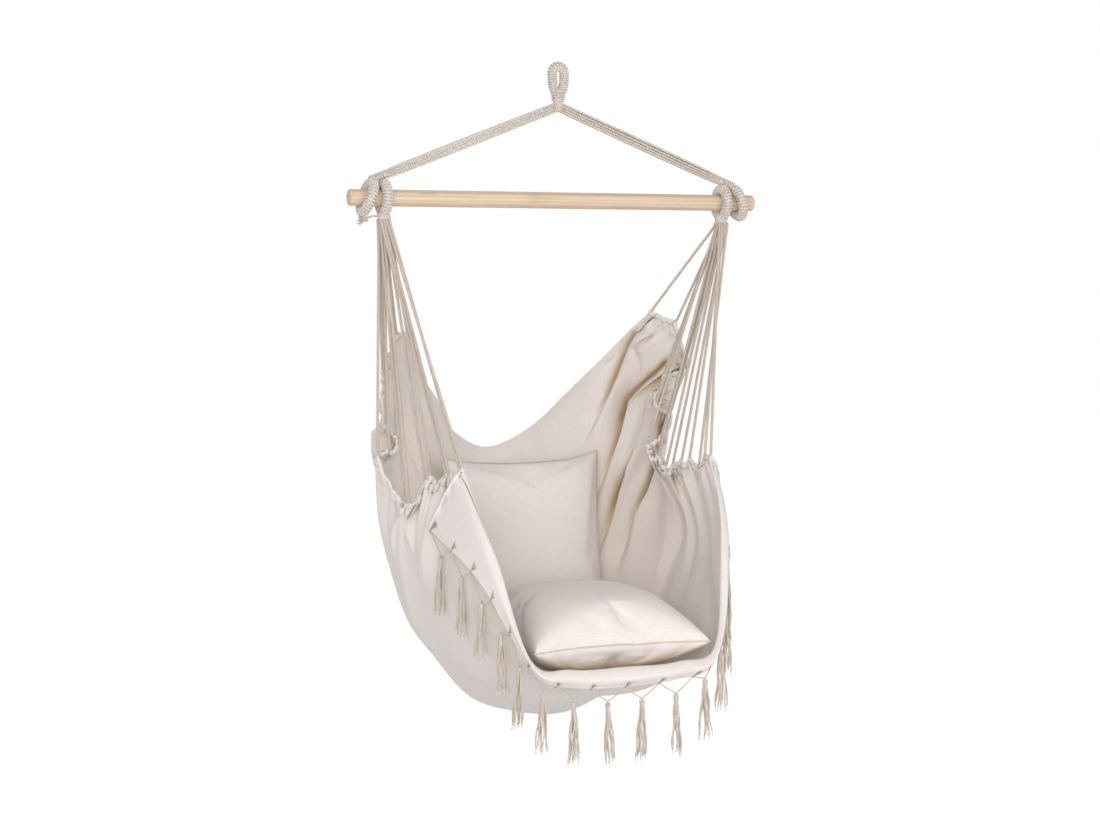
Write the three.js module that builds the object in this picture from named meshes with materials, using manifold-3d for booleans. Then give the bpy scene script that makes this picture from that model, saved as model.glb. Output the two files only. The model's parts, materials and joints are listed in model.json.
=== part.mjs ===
// Hammock chair: a cotton seat hung by cords from a wooden spreader bar,
// with two loose cushions. Millimetres, +Z up, the chair faces -Y.
// The origin is where a hook bears inside the top of the hanging loop.
import * as THREE from "three";
import { mergeVertices } from "three/addons/utils/BufferGeometryUtils.js";
import Module from "manifold-3d";

const wasm = await Module();
wasm.setup();

// Driving dimensions of the bar and of the ropes above it
const barLength = 960;
const barRadius = 18;
const barChamfer = 3;
const barDrop = 283;
const seatGap = 0.3;
const windingRadius = 2.3;
const windingGap = 0.4;
const loopLegSpread = 14.5;
const loopRopeRadius = 4.9;
const loopLegLength = 33;
const loopNeckRadius = 9;
const loopNeckTop = 44;
const loopFootDepth = 4;
const loopNeckLength = 22;
const apexRadius = 11;
const ropeStrandRadius = 2.7;
const ropeRows = 4;
const ropeColumns = 2;
const seatRingRadius = 29.2;
const tiedRingRadius = 31.8;
const ringRopeRadius = 5.2;
const tiedRingInset = 39;
const tiedRingTilt = THREE.MathUtils.degToRad(14);
const tiedNeckLength = 33;
const tiedNeckRadius = 9;
const seatRingInset = 78;
const seatNeckRadius = 17.5;
const seatNeckLength = 15;

// Driving dimensions of the cords, cloth, cushions and fringe
const cordRadius = 2.75;
const cordSpacingX = 6.4;
const cordSpacingY = 7.4;
const cordBend = 8;
const cordStub = 6;
const cordsPerRow = 4;
const clothHalfWidth = 380;
const clothReach = 460;
const clothDrop = 1450;
const clothThickness = 3;
const hemSag = 16;
const hemGather = 4;
const hemClearance = 1;
const cushionWidth = 406;
const cushionDepth = 430;
const cushionCrown = 100;
const cushionBelly = 60;
const cushionForward = 152;
const backCushionCrown = 52;
const backCushionHeight = 425;
const backCushionSide = 14;
const backCushionDrop = 1072;
const backCushionLean = THREE.MathUtils.degToRad(9);
const cushionSeam = 5;
const seatCushionPower = 2.8;
const backCushionPower = 4;
const cushionRest = 1.4;
const headerRadius = 1.6;
const headerDrop = 28;
const tasselLength = 128;
const tasselKnotRadius = 6;
const tasselSplay = 13;
const strandRadius = 2;
const tailRadius = 2.4;
const tailLength = 36;
const tailKnotRadius = 8;
const tailSlope = 0.5;

// Places along the bar, worked out from its ends
const tiedRingPlace = barLength / 2 - tiedRingInset;
const seatRingPlace = barLength / 2 - seatRingInset;

// Counts
const tasselCount = 16;
const strandCount = 5;
const strandSides = 3;
const ringCurls = 14;
const loopCurls = 10;
const neckCurls = 2;
const stepsPerCurl = 8;
const windingSides = 5;
const cordSides = 6;
const ropeSides = 8;
const barSegments = 28;
const turnSegments = 16;
const ballBands = 10;
const ringSteps = 22;
const loopSteps = 14;
const strandArcSteps = 3;
const cushionCells = 12;
const fringeSamples = 400;

// The cloth's smooth form: five places in each row, from the middle out to
// the side hem, as shares of its half width, its reach behind the bar and
// its drop. The rows run from the fringed front edge to the back edge.
const rowShares = [0, 0.075, 0.105, 0.135, 0.24, 0.4, 0.55, 0.7, 0.86, 1];
const foldRow = 2;
const netShares = [
  [
    [0, -0.8, 0.894], [0.309, -0.8, 0.891], [0.545, -0.795, 0.864],
    [0.75, -0.605, 0.744], [0.914, -0.272, 0.678],
  ],
  [
    [0, -0.83, 0.878], [0.318, -0.83, 0.874], [0.56, -0.815, 0.851],
    [0.718, -0.64, 0.701], [0.796, -0.406, 0.597],
  ],
  [
    [0, -0.8, 0.87], [0.318, -0.8, 0.866], [0.55, -0.786, 0.847],
    [0.685, -0.633, 0.694], [0.756, -0.413, 0.591],
  ],
  [
    [0, -0.744, 0.875], [0.33, -0.744, 0.872], [0.575, -0.735, 0.854],
    [0.71, -0.585, 0.694], [0.787, -0.362, 0.591],
  ],
  [
    [0, -0.467, 0.924], [0.4, -0.467, 0.912], [0.69, -0.413, 0.835],
    [0.845, -0.272, 0.71], [0.837, -0.174, 0.6],
  ],
  [
    [0, -0.065, 0.962], [0.425, -0.054, 0.943], [0.745, -0.022, 0.859],
    [0.925, 0.022, 0.717], [0.868, 0.022, 0.597],
  ],
  [
    [0, 0.326, 1], [0.42, 0.315, 0.967], [0.75, 0.283, 0.862],
    [0.94, 0.239, 0.697], [0.868, 0.174, 0.545],
  ],
  [
    [0, 0.635, 0.91], [0.374, 0.615, 0.879], [0.69, 0.54, 0.772],
    [0.895, 0.425, 0.621], [0.921, 0.239, 0.476],
  ],
  [
    [0, 0.75, 0.752], [0.311, 0.717, 0.721], [0.584, 0.63, 0.624],
    [0.803, 0.478, 0.514], [0.908, 0.272, 0.421],
  ],
  [
    [0, 1, 0.597], [0.25, 0.946, 0.569], [0.447, 0.772, 0.503],
    [0.618, 0.57, 0.436], [0.755, 0.326, 0.372],
  ],
];

// Where the cords leave each side hem, from the back corner to the front
// fold, in the same shares. Two neighbouring places share one cord.
const rightHemShares = [
  [0.762, 0.326, 0.371],
  [0.898, 0.261, 0.388],
  [1.006, 0.304, 0.459],
  [0.775, 0.174, 0.472],
  [0.71, 0.152, 0.516],
  [0.804, 0.141, 0.531],
  [0.732, 0.12, 0.569],
  [0.631, 0.104, 0.581],
  [0.704, 0.098, 0.6],
  [0.734, 0.057, 0.615],
  [0.762, 0.03, 0.612],
  [0.791, -0.022, 0.604],
  [0.806, -0.087, 0.598],
  [0.814, -0.174, 0.614],
  [0.788, -0.283, 0.589],
  [0.774, -0.37, 0.587],
];
const leftHemShares = [
  [0.778, 0.326, 0.394],
  [0.881, 0.265, 0.404],
  [0.969, 0.261, 0.455],
  [0.952, 0.293, 0.499],
  [0.969, 0.217, 0.54],
  [0.917, 0.196, 0.558],
  [0.972, 0.163, 0.577],
  [1.062, 0.109, 0.585],
  [0.93, 0.043, 0.652],
  [0.926, -0.022, 0.653],
  [0.858, -0.087, 0.617],
  [0.838, -0.13, 0.61],
  [0.785, -0.217, 0.604],
  [0.775, -0.25, 0.604],
  [0.753, -0.337, 0.592],
  [0.753, -0.391, 0.592],
];
const pleatStartShare = 0.4;
const borderRowShares = [0.09, 0.06, 0];

const X = new THREE.Vector3(1, 0, 0);
const Y = new THREE.Vector3(0, 1, 0);

// Materials
const cotton = { color: 0xe9e0d4, roughness: 0.95, metalness: 0 };
const looks = {
  wood: { color: 0xd9b98c, roughness: 0.6, metalness: 0 },
  rope: cotton,
  winding: { ...cotton, color: 0xe2d6c6 },
  cord: { ...cotton, color: 0xdccdbb },
  cloth: { ...cotton, color: 0xe8ded2 },
  cushion: { ...cotton, color: 0xe6dbd2 },
  fringe: { ...cotton, color: 0xe0d3be },
};

const chair = new THREE.Group();

function add(name, look, geometry) {
  const mesh = new THREE.Mesh(geometry, new THREE.MeshStandardMaterial(looks[look]));
  mesh.name = name;
  chair.add(mesh);
  return mesh;
}

// Closed geometry helpers

function signedVolume(positions, index) {
  const a = new THREE.Vector3();
  const b = new THREE.Vector3();
  const c = new THREE.Vector3();
  let sum = 0;
  for (let i = 0; i < index.length; i += 3) {
    a.fromArray(positions, 3 * index[i]);
    b.fromArray(positions, 3 * index[i + 1]);
    c.fromArray(positions, 3 * index[i + 2]);
    sum += a.dot(b.cross(c));
  }
  return sum / 6;
}

// A geometry from points and triangles, turned to face outwards
function closed(points, triangles) {
  const positions = points.flatMap((p) => p.toArray());
  let index = triangles.flat();
  if (signedVolume(positions, index) < 0) index = index.reverse();
  const geometry = new THREE.BufferGeometry();
  geometry.setAttribute("position", new THREE.Float32BufferAttribute(positions, 3));
  geometry.setIndex(index);
  geometry.computeVertexNormals();
  return geometry;
}

function solidOf(geometry) {
  let merged = geometry.clone();
  merged.deleteAttribute("normal");
  merged.deleteAttribute("uv");
  merged = mergeVertices(merged);
  const vertProperties = new Float32Array(merged.attributes.position.array);
  const triVerts = new Uint32Array(merged.index.array);
  return new wasm.Manifold(new wasm.Mesh({ numProp: 3, vertProperties, triVerts }));
}

function joined(geometries) {
  const solid = geometries.map(solidOf).reduce((whole, piece) => whole.add(piece));
  const mesh = solid.getMesh();
  const geometry = new THREE.BufferGeometry();
  geometry.setAttribute("position", new THREE.BufferAttribute(mesh.vertProperties, 3));
  geometry.setIndex(new THREE.BufferAttribute(mesh.triVerts, 1));
  geometry.computeVertexNormals();
  return geometry;
}

// A closed tube with one ring of vertices at each point of a route. Its
// radius is one number, or a function of the point's index.
function tube(route, radius, sides) {
  const radiusAt = typeof radius === "function" ? radius : () => radius;
  const points = [];
  const triangles = [];
  const last = route.length - 1;
  const tangents = route.map((p, i) => {
    const before = route[Math.max(i - 1, 0)];
    const after = route[Math.min(i + 1, last)];
    return after.clone().sub(before).normalize();
  });
  const start = Math.abs(tangents[0].y) < 0.8 ? Y : X;
  const side = start.clone().cross(tangents[0]).normalize();
  route.forEach((p, i) => {
    if (i > 0) {
      const turn = new THREE.Quaternion().setFromUnitVectors(tangents[i - 1], tangents[i]);
      side.applyQuaternion(turn);
    }
    const up = tangents[i].clone().cross(side);
    for (let j = 0; j < sides; j += 1) {
      const angle = (2 * Math.PI * j) / sides;
      points.push(p.clone()
        .addScaledVector(side, radiusAt(i) * Math.cos(angle))
        .addScaledVector(up, radiusAt(i) * Math.sin(angle)));
    }
  });
  for (let i = 0; i < last; i += 1) {
    for (let j = 0; j < sides; j += 1) {
      const a = i * sides + j;
      const b = i * sides + ((j + 1) % sides);
      triangles.push([a, b, b + sides], [a, b + sides, a + sides]);
    }
  }
  for (let j = 1; j < sides - 1; j += 1) {
    const end = last * sides;
    triangles.push([0, j + 1, j], [end, end + j, end + j + 1]);
  }
  return closed(points, triangles);
}

// A closed shell between two grids of points that face each other
function shell(front, back) {
  const rows = front.length;
  const columns = front[0].length;
  const layer = rows * columns;
  const points = [...front.flat(), ...back.flat()];
  const triangles = [];
  const at = (i, j) => i * columns + j;
  for (let i = 0; i < rows - 1; i += 1) {
    for (let j = 0; j < columns - 1; j += 1) {
      const [a, b, c, d] = [at(i, j), at(i, j + 1), at(i + 1, j + 1), at(i + 1, j)];
      triangles.push([a, b, c], [a, c, d]);
      triangles.push([layer + a, layer + c, layer + b], [layer + a, layer + d, layer + c]);
    }
  }
  const edge = [];
  for (let j = 0; j < columns - 1; j += 1) edge.push(at(0, j));
  for (let i = 0; i < rows - 1; i += 1) edge.push(at(i, columns - 1));
  for (let j = columns - 1; j > 0; j -= 1) edge.push(at(rows - 1, j));
  for (let i = rows - 1; i > 0; i -= 1) edge.push(at(i, 0));
  edge.forEach((a, k) => {
    const b = edge[(k + 1) % edge.length];
    triangles.push([a, layer + a, layer + b], [a, layer + b, b]);
  });
  return closed(points, triangles);
}

function turned(profile, segments) {
  const outline = profile.map(([radius, height]) => new THREE.Vector2(radius, height));
  return new THREE.LatheGeometry(outline, segments).rotateX(Math.PI / 2);
}

// The smallest gap between parts of a tube that are more than half a curl apart
function leastGap(route, radius) {
  const apart = stepsPerCurl / 2;
  let least = Infinity;
  route.forEach((p, i) => {
    for (let j = i + apart; j < route.length; j += 1) {
      least = Math.min(least, p.distanceTo(route[j]));
    }
  });
  return least - 2 * radius;
}

// The radius of a winding's own centre line, its facets clear of the core
const windingReach = (coreRadius) => {
  const clear = coreRadius / Math.cos(Math.PI / stepsPerCurl);
  return clear + windingGap + windingRadius;
};

// One unbroken tube wound round a path. path(share) gives the path's centre
// and two directions square to it. The ends run straight on for a diameter.
function winding(name, path, coreRadius, curls) {
  const reach = windingReach(coreRadius);
  const steps = curls * stepsPerCurl;
  const route = [];
  for (let i = 0; i <= steps; i += 1) {
    const { centre, out, side } = path(i / steps);
    const angle = (2 * Math.PI * i) / stepsPerCurl;
    route.push(centre.clone()
      .addScaledVector(out, reach * Math.cos(angle))
      .addScaledVector(side, reach * Math.sin(angle)));
  }
  const straightOn = (p, before) => p.clone().add(p.clone().sub(before).setLength(2 * windingRadius));
  const start = straightOn(route[0], route[1]);
  const end = straightOn(route[steps], route[steps - 1]);
  const whole = [start, ...route, end];
  console.log(name + " least gap to itself " + leastGap(whole, windingRadius).toFixed(2) + " mm");
  return tube(whole, windingRadius, windingSides);
}

// Spreader bar: a round wooden dowel with chamfered ends

const half = barLength / 2;
const barProfile = [
  [0, -half],
  [barRadius - barChamfer, -half],
  [barRadius, -half + barChamfer],
  [barRadius, half - barChamfer],
  [barRadius - barChamfer, half],
  [0, half],
];
const bar = add("spreader_bar", "wood", turned(barProfile, barSegments));
bar.rotation.y = Math.PI / 2;
bar.position.z = -barDrop;

// Hanging loop: rope bent over the hook, its two legs meeting in a neck

const ropeOuter = windingReach(loopRopeRadius) + windingRadius;
const eyeCentreZ = -(loopLegSpread - ropeOuter);

function loopPath(share) {
  const arc = Math.PI * loopLegSpread;
  const length = 2 * loopLegLength + arc;
  const along = share * length;
  if (along < loopLegLength) {
    const z = eyeCentreZ - loopLegLength + along;
    return { centre: new THREE.Vector3(-loopLegSpread, 0, z), out: X.clone().negate(), side: Y };
  }
  if (along > loopLegLength + arc) {
    const z = eyeCentreZ - (along - loopLegLength - arc);
    return { centre: new THREE.Vector3(loopLegSpread, 0, z), out: X, side: Y };
  }
  const angle = Math.PI - (along - loopLegLength) / loopLegSpread;
  const out = new THREE.Vector3(Math.cos(angle), 0, Math.sin(angle));
  const centre = out.clone().multiplyScalar(loopLegSpread);
  centre.z += eyeCentreZ;
  return { centre, out, side: Y };
}

const loopRoute = [];
for (let i = 0; i <= loopSteps; i += 1) loopRoute.push(loopPath(i / loopSteps).centre);
const footX = loopNeckRadius - loopRopeRadius;
const loopFoot = [-footX, footX].map((x) => new THREE.Vector3(x, 0, -loopNeckTop - loopFootDepth));
const neckBottom = -loopNeckTop - loopNeckLength;
const neckProfile = [
  [0, neckBottom],
  [loopNeckRadius, neckBottom],
  [loopNeckRadius, -loopNeckTop - loopRopeRadius],
  [loopNeckRadius - loopRopeRadius, -loopNeckTop],
  [0, -loopNeckTop],
];
add("hanging_loop", "rope", joined([
  tube([loopFoot[0], ...loopRoute, loopFoot[1]], loopRopeRadius, ropeSides),
  turned(neckProfile, turnSegments),
]));
const loopWinding = winding("hanging_loop_winding", loopPath, loopRopeRadius, loopCurls);
add("hanging_loop_winding", "winding", loopWinding);

// Neck winding: horizontal turns that tie the loop's two legs together

const neckPitch = 2 * windingRadius + 2 * windingGap;
const neckPath = (share) => ({
  centre: new THREE.Vector3(0, 0, neckBottom + windingRadius + share * neckCurls * neckPitch),
  out: X,
  side: Y,
});
add("neck_winding", "winding", winding("neck_winding", neckPath, loopNeckRadius, neckCurls));

// Apex knot: the ball that both rope bundles leave

const apexZ = neckBottom - seatGap - apexRadius;
const apexBall = new THREE.SphereGeometry(apexRadius, turnSegments, ballBands).rotateX(Math.PI / 2);
const apex = add("apex_knot", "rope", apexBall);
apex.position.z = apexZ;

// Rings: a rope eye round the bar with a neck, and its winding

const ringOuter = windingReach(ringRopeRadius) + windingRadius;
const ringWindingArc = THREE.MathUtils.degToRad(270);

// The ring stands in the YZ plane with its neck up, before it is turned
const ringPath = (ringRadius) => (share) => {
  const angle = Math.PI / 2 + (2 * Math.PI - ringWindingArc) / 2 + share * ringWindingArc;
  const out = new THREE.Vector3(0, Math.cos(angle), Math.sin(angle));
  return { centre: out.clone().multiplyScalar(ringRadius), out, side: X };
};

// The neck starts at a height above the ring's centre and leans in the XZ plane
function ringGeometry(ringRadius, neck) {
  const eye = new THREE.TorusGeometry(ringRadius, ringRopeRadius, ropeSides, ringSteps);
  eye.rotateY(Math.PI / 2);
  const profile = [
    [0, 0],
    [ringRopeRadius, 0],
    [neck.radius, neck.length / 2],
    [neck.radius, neck.length],
    [0, neck.length],
  ];
  const stem = turned(profile, turnSegments).rotateY(neck.lean).translate(0, 0, neck.start);
  return joined([eye, stem]);
}

function addRing(name, centre, turn, ringRadius, neck) {
  const wrapName = name + "_winding";
  const wrap = winding(wrapName, ringPath(ringRadius), ringRopeRadius, ringCurls);
  const core = add(name, "rope", ringGeometry(ringRadius, neck));
  const wound = add(wrapName, "winding", wrap);
  for (const mesh of [core, wound]) {
    mesh.position.copy(centre);
    mesh.rotation.copy(turn);
  }
}

const sides = [
  { name: "right", sign: 1, hem: rightHemShares },
  { name: "left", sign: -1, hem: leftHemShares },
];

// Rope bundles: strands side by side, drawn tight between ring and apex. Each
// strand's arc ends where it meets the next one.

const strandArc = 60;

function bundleShape() {
  const points = [];
  const pitch = 2 * ropeStrandRadius;
  const corner = [((ropeColumns - 1) * pitch) / 2, ((ropeRows - 1) * pitch) / 2];
  const arc = (cx, cy, from, to) => {
    for (let i = 0; i <= strandArcSteps; i += 1) {
      const angle = THREE.MathUtils.degToRad(from + ((to - from) * i) / strandArcSteps);
      points.push(new THREE.Vector2(
        cx + ropeStrandRadius * Math.cos(angle),
        cy + ropeStrandRadius * Math.sin(angle),
      ));
    }
  };
  for (let i = 0; i < ropeRows; i += 1) {
    const from = i === 0 ? -90 : -strandArc;
    const to = i === ropeRows - 1 ? 90 : strandArc;
    arc(corner[0], -corner[1] + i * pitch, from, to);
  }
  for (let i = ropeRows - 1; i >= 0; i -= 1) {
    const from = i === ropeRows - 1 ? 90 : 180 - strandArc;
    const to = i === 0 ? 270 : 180 + strandArc;
    arc(-corner[0], -corner[1] + i * pitch, from, to);
  }
  return new THREE.Shape(points);
}

// The tilted rings are pulled up, so their lowest turns bear on the bar
const tiedPlay = tiedRingRadius * Math.cos(tiedRingTilt) - ringOuter - barRadius;
for (const { name, sign } of sides) {
  const tilt = new THREE.Euler(0, -sign * tiedRingTilt, 0);
  const centre = new THREE.Vector3(sign * tiedRingPlace, 0, -barDrop + tiedPlay - seatGap);
  const start = tiedRingRadius + ringRopeRadius;
  const top = new THREE.Vector3(0, 0, start).applyEuler(tilt).add(centre);
  const towards = new THREE.Vector3(0, 0, apexZ).sub(top);
  const lean = Math.atan2(towards.x, towards.z) + sign * tiedRingTilt;
  const neck = { radius: tiedNeckRadius, length: tiedNeckLength, lean, start };
  addRing("suspension_ring_" + name, centre, tilt, tiedRingRadius, neck);
  const along = towards.clone().normalize();
  const from = top.clone().addScaledVector(along, tiedNeckLength + seatGap);
  const to = top.clone().addScaledVector(along, towards.length() - apexRadius - seatGap);
  const options = { steps: 2, bevelEnabled: false, extrudePath: new THREE.LineCurve3(from, to) };
  add("suspension_rope_" + name, "rope", new THREE.ExtrudeGeometry(bundleShape(), options));
}

// Seat rings hang on the bar with their necks down
const seatPlay = seatRingRadius - ringOuter - barRadius;
const seatRingZ = -barDrop + seatGap - seatPlay;
const seatNeck = { radius: seatNeckRadius, length: seatNeckLength, lean: 0, start: seatRingRadius };
for (const { name, sign } of sides) {
  const turn = new THREE.Euler(Math.PI, 0, 0);
  const centre = new THREE.Vector3(sign * seatRingPlace, 0, seatRingZ);
  addRing("seat_ring_" + name, centre, turn, seatRingRadius, seatNeck);
}

// Cloth: a smooth hanging form, drawn into pleats at the side hems

const place = ([x, y, z], sign) => new THREE.Vector3(
  sign * x * clothHalfWidth,
  y * clothReach,
  -z * clothDrop,
);

// A smooth curve through places at uneven stations
function through(stations, places, at) {
  const last = stations.length - 1;
  const gap = (i) => stations[i + 1] - stations[i];
  const rise = (i) => places[i + 1].clone().sub(places[i]).divideScalar(gap(i));
  const slope = (i) => {
    if (i === 0) return rise(0);
    if (i === last) return rise(last - 1);
    const sum = rise(i - 1).multiplyScalar(gap(i)).addScaledVector(rise(i), gap(i - 1));
    return sum.divideScalar(gap(i - 1) + gap(i));
  };
  let i = 0;
  while (i < last - 1 && at >= stations[i + 1]) i += 1;
  const span = gap(i);
  const u = (at - stations[i]) / span;
  return places[i].clone().multiplyScalar(2 * u ** 3 - 3 * u ** 2 + 1)
    .addScaledVector(slope(i), span * (u ** 3 - 2 * u ** 2 + u))
    .addScaledVector(places[i + 1], 3 * u ** 2 - 2 * u ** 3)
    .addScaledVector(slope(i + 1), span * (u ** 3 - u ** 2));
}

const net = netShares.map((row) => [
  ...row.slice(1).reverse().map((share) => place(share, -1)),
  ...row.map((share) => place(share, 1)),
]);
const netColumns = net[0].map((p, j) => -1 + (2 * j) / (net[0].length - 1));

function smoothCloth(across, along) {
  const row = netColumns.map((c, j) => through(rowShares, net.map((line) => line[j]), along));
  return through(netColumns, row, across);
}

// Hem places: each cord exit, and the sag of the hem between two exits
const foldAlong = rowShares[foldRow];
const hemExits = rightHemShares.length;
const hemRows = 2 * hemExits - 1;
const hemAlong = (i) => 1 - ((1 - foldAlong) * i) / (hemRows - 1);

function hemPlaces(hem, sign) {
  const exits = hem.map((share) => place(share, sign));
  const places = [];
  exits.forEach((exit, i) => {
    places.push(exit);
    if (i === hemExits - 1) return;
    const middle = exit.clone().add(exits[i + 1]).divideScalar(2);
    middle.z -= i % 2 === 0 ? hemGather : hemSag;
    places.push(middle);
  });
  return places;
}

const hems = { right: hemPlaces(rightHemShares, 1), left: hemPlaces(leftHemShares, -1) };
const clothRows = [];
for (let i = 0; i < hemRows; i += 1) {
  clothRows.push({ along: hemAlong(i), right: hems.right[i], left: hems.left[i] });
}
for (const along of borderRowShares) {
  const fade = along / foldAlong;
  const row = { along };
  for (const { name, sign } of sides) {
    const pull = hems[name][hemRows - 1].clone().sub(smoothCloth(sign, foldAlong));
    row[name] = smoothCloth(sign, along).addScaledVector(pull, fade);
  }
  clothRows.push(row);
}

// Columns stand where equal steps along the fringed edge fall
const fringeEdge = [];
let fringeRun = 0;
for (let i = 0; i <= fringeSamples; i += 1) {
  const across = -1 + (2 * i) / fringeSamples;
  const p = smoothCloth(across, 0);
  if (i > 0) fringeRun += p.distanceTo(fringeEdge[i - 1].p);
  fringeEdge.push({ across, p, run: fringeRun });
}
const columns = [];
for (let j = 0; j <= tasselCount; j += 1) {
  const run = (j / tasselCount) * fringeRun;
  columns.push(fringeEdge.find((place) => place.run >= run).across);
}

function clothPoint(row, across) {
  const p = smoothCloth(across, row.along);
  const strength = Math.max(0, (Math.abs(across) - pleatStartShare) / (1 - pleatStartShare));
  const sign = Math.sign(across);
  if (strength === 0) return p;
  const pull = (sign > 0 ? row.right : row.left).clone().sub(smoothCloth(sign, row.along));
  return p.addScaledVector(pull, strength ** 2);
}

const clothGrid = clothRows.map((row) => columns.map((across) => clothPoint(row, across)));

function gridNormal(grid, i, j) {
  const [above, below] = [grid[Math.max(i - 1, 0)], grid[Math.min(i + 1, grid.length - 1)]];
  const [before, after] = [Math.max(j - 1, 0), Math.min(j + 1, grid[i].length - 1)];
  const down = below[j].clone().sub(above[j]);
  const over = grid[i][after].clone().sub(grid[i][before]);
  return down.cross(over).normalize();
}

const clothSide = (offset) => clothGrid.map((row, i) => row.map(
  (p, j) => p.clone().addScaledVector(gridNormal(clothGrid, i, j), offset),
));
const clothShell = shell(clothSide(clothThickness / 2), clothSide(-clothThickness / 2));
const cloth = add("seat_cloth", "cloth", clothShell);

// Cords: each one runs from the ring's neck down to the hem, along it to
// the next exit and back up. The neck takes them in rows, sorted so that
// no two cross.

const neckFaceZ = seatRingZ - seatRingRadius - seatNeckLength - seatGap;

function neckPlaces(exits, sign) {
  const ring = new THREE.Vector3(sign * seatRingPlace, 0, neckFaceZ);
  const legs = exits.map((exit, index) => {
    const drop = ring.z - exit.z;
    return { index, x: (exit.x - ring.x) / drop, y: (exit.y - ring.y) / drop };
  });
  legs.sort((a, b) => a.y - b.y);
  const places = [];
  const rows = legs.length / cordsPerRow;
  for (let r = 0; r < rows; r += 1) {
    const row = legs.slice(r * cordsPerRow, (r + 1) * cordsPerRow).sort((a, b) => a.x - b.x);
    row.forEach((leg, c) => {
      places[leg.index] = ring.clone().add(new THREE.Vector3(
        (c - (cordsPerRow - 1) / 2) * cordSpacingX,
        (r - (rows - 1) / 2) * cordSpacingY,
        0,
      ));
    });
  }
  return places;
}

for (const { name, sign } of sides) {
  const column = sign > 0 ? columns.length - 1 : 0;
  const lift = cordRadius + clothThickness / 2 + hemClearance;
  const hemPoint = (i) => {
    const edge = clothGrid[i][column];
    const outwards = edge.clone().sub(clothGrid[i][column - sign]).normalize();
    return edge.clone().addScaledVector(outwards, lift);
  };
  const exits = [];
  for (let i = 0; i < hemExits; i += 1) exits.push(hemPoint(2 * i));
  const tops = neckPlaces(exits, sign);
  const down = new THREE.Vector3(0, 0, -cordStub);
  for (let k = 0; k < hemExits; k += 2) {
    const [a, b] = [exits[k], exits[k + 1]];
    const middle = hemPoint(2 * k + 1);
    const bendA = a.clone().add(tops[k].clone().sub(a).setLength(cordBend));
    const bendB = b.clone().add(tops[k + 1].clone().sub(b).setLength(cordBend));
    const route = [
      tops[k],
      tops[k].clone().add(down),
      bendA,
      a.clone().add(middle.clone().sub(a).setLength(cordRadius)),
      middle,
      b.clone().add(middle.clone().sub(b).setLength(cordRadius)),
      bendB,
      tops[k + 1].clone().add(down),
      tops[k + 1],
    ];
    add("seat_cord_" + name + "_" + (k / 2 + 1), "cord", tube(route, cordRadius, cordSides));
  }
}

// Loose knotted cord end beside the left seat ring's neck

const tailHeight = seatRingZ - seatRingRadius - seatNeckLength / 2 - tailRadius;
const tailStart = new THREE.Vector3(-seatRingPlace - seatNeckRadius - seatGap, 0, tailHeight);
const tailRoute = [0, 1, 2, 3].map((step) => {
  const fall = (tailSlope * tailLength * Math.max(0, step - 1)) / 3;
  return tailStart.clone().add(new THREE.Vector3((-step / 3) * tailLength, 0, -fall));
});
const tailKnot = new THREE.SphereGeometry(tailKnotRadius, ballBands, ballBands / 2);
tailKnot.scale(1, 1, tailKnotRadius / (tailKnotRadius + 2 * tailRadius));
tailKnot.translate(tailRoute[2].x, tailRoute[2].y, tailRoute[2].z);
add("cord_tail", "cord", joined([tube(tailRoute, tailRadius, cordSides), tailKnot]));

// Cushions: a crowned pillow with drawn-in sides and a thin seam. A higher
// power gives it fuller shoulders.

function cushionGeometry(width, depth, crown, belly, power) {
  const drawnInShare = 0.055;
  const step = (i) => Math.sin((Math.PI / 2) * (-1 + (2 * i) / cushionCells));
  const grid = (height) => {
    const rows = [];
    for (let i = 0; i <= cushionCells; i += 1) {
      const v = step(i);
      const row = [];
      for (let j = 0; j <= cushionCells; j += 1) {
        const u = step(j);
        const x = (width / 2) * u * (1 - drawnInShare * (1 - v * v));
        const y = (depth / 2) * v * (1 - drawnInShare * (1 - u * u));
        const rise = Math.sqrt((1 - Math.abs(u) ** power) * (1 - Math.abs(v) ** power));
        row.push(new THREE.Vector3(x, y, Math.sign(height) * (cushionSeam / 2) + height * rise));
      }
      rows.push(row);
    }
    return rows;
  };
  return shell(grid(crown), grid(-belly));
}

// Slides a cushion one way until it lies just clear of the cloth
function settle(cushion, way) {
  const caster = new THREE.Raycaster();
  let least = Infinity;
  const measure = (from, onto, direction) => {
    const places = from.geometry.attributes.position;
    for (let i = 0; i < places.count; i += 1) {
      const p = new THREE.Vector3().fromBufferAttribute(places, i).applyMatrix4(from.matrixWorld);
      caster.set(p, direction);
      const [hit] = caster.intersectObject(onto);
      if (hit) least = Math.min(least, hit.distance);
    }
  };
  cushion.updateMatrixWorld();
  measure(cushion, cloth, way);
  measure(cloth, cushion, way.clone().negate());
  cushion.position.addScaledVector(way, least - cushionRest);
}

const seatSize = [cushionWidth, cushionDepth, cushionCrown, cushionBelly];
const seatShape = cushionGeometry(...seatSize, seatCushionPower);
const seatCushion = add("seat_cushion", "cushion", seatShape);
seatCushion.position.set(0, -cushionForward, -backCushionDrop);
settle(seatCushion, new THREE.Vector3(0, 0, -1));

const backSize = [cushionWidth, backCushionHeight, backCushionCrown, backCushionCrown];
const backShape = cushionGeometry(...backSize, backCushionPower);
const backCushion = add("back_cushion", "cushion", backShape);
backCushion.position.set(backCushionSide, 0, -backCushionDrop);
backCushion.rotation.x = Math.PI / 2 - backCushionLean;
settle(backCushion, Y);

// Fringe: a header cord that zigzags below the front edge, with tassels

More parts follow.
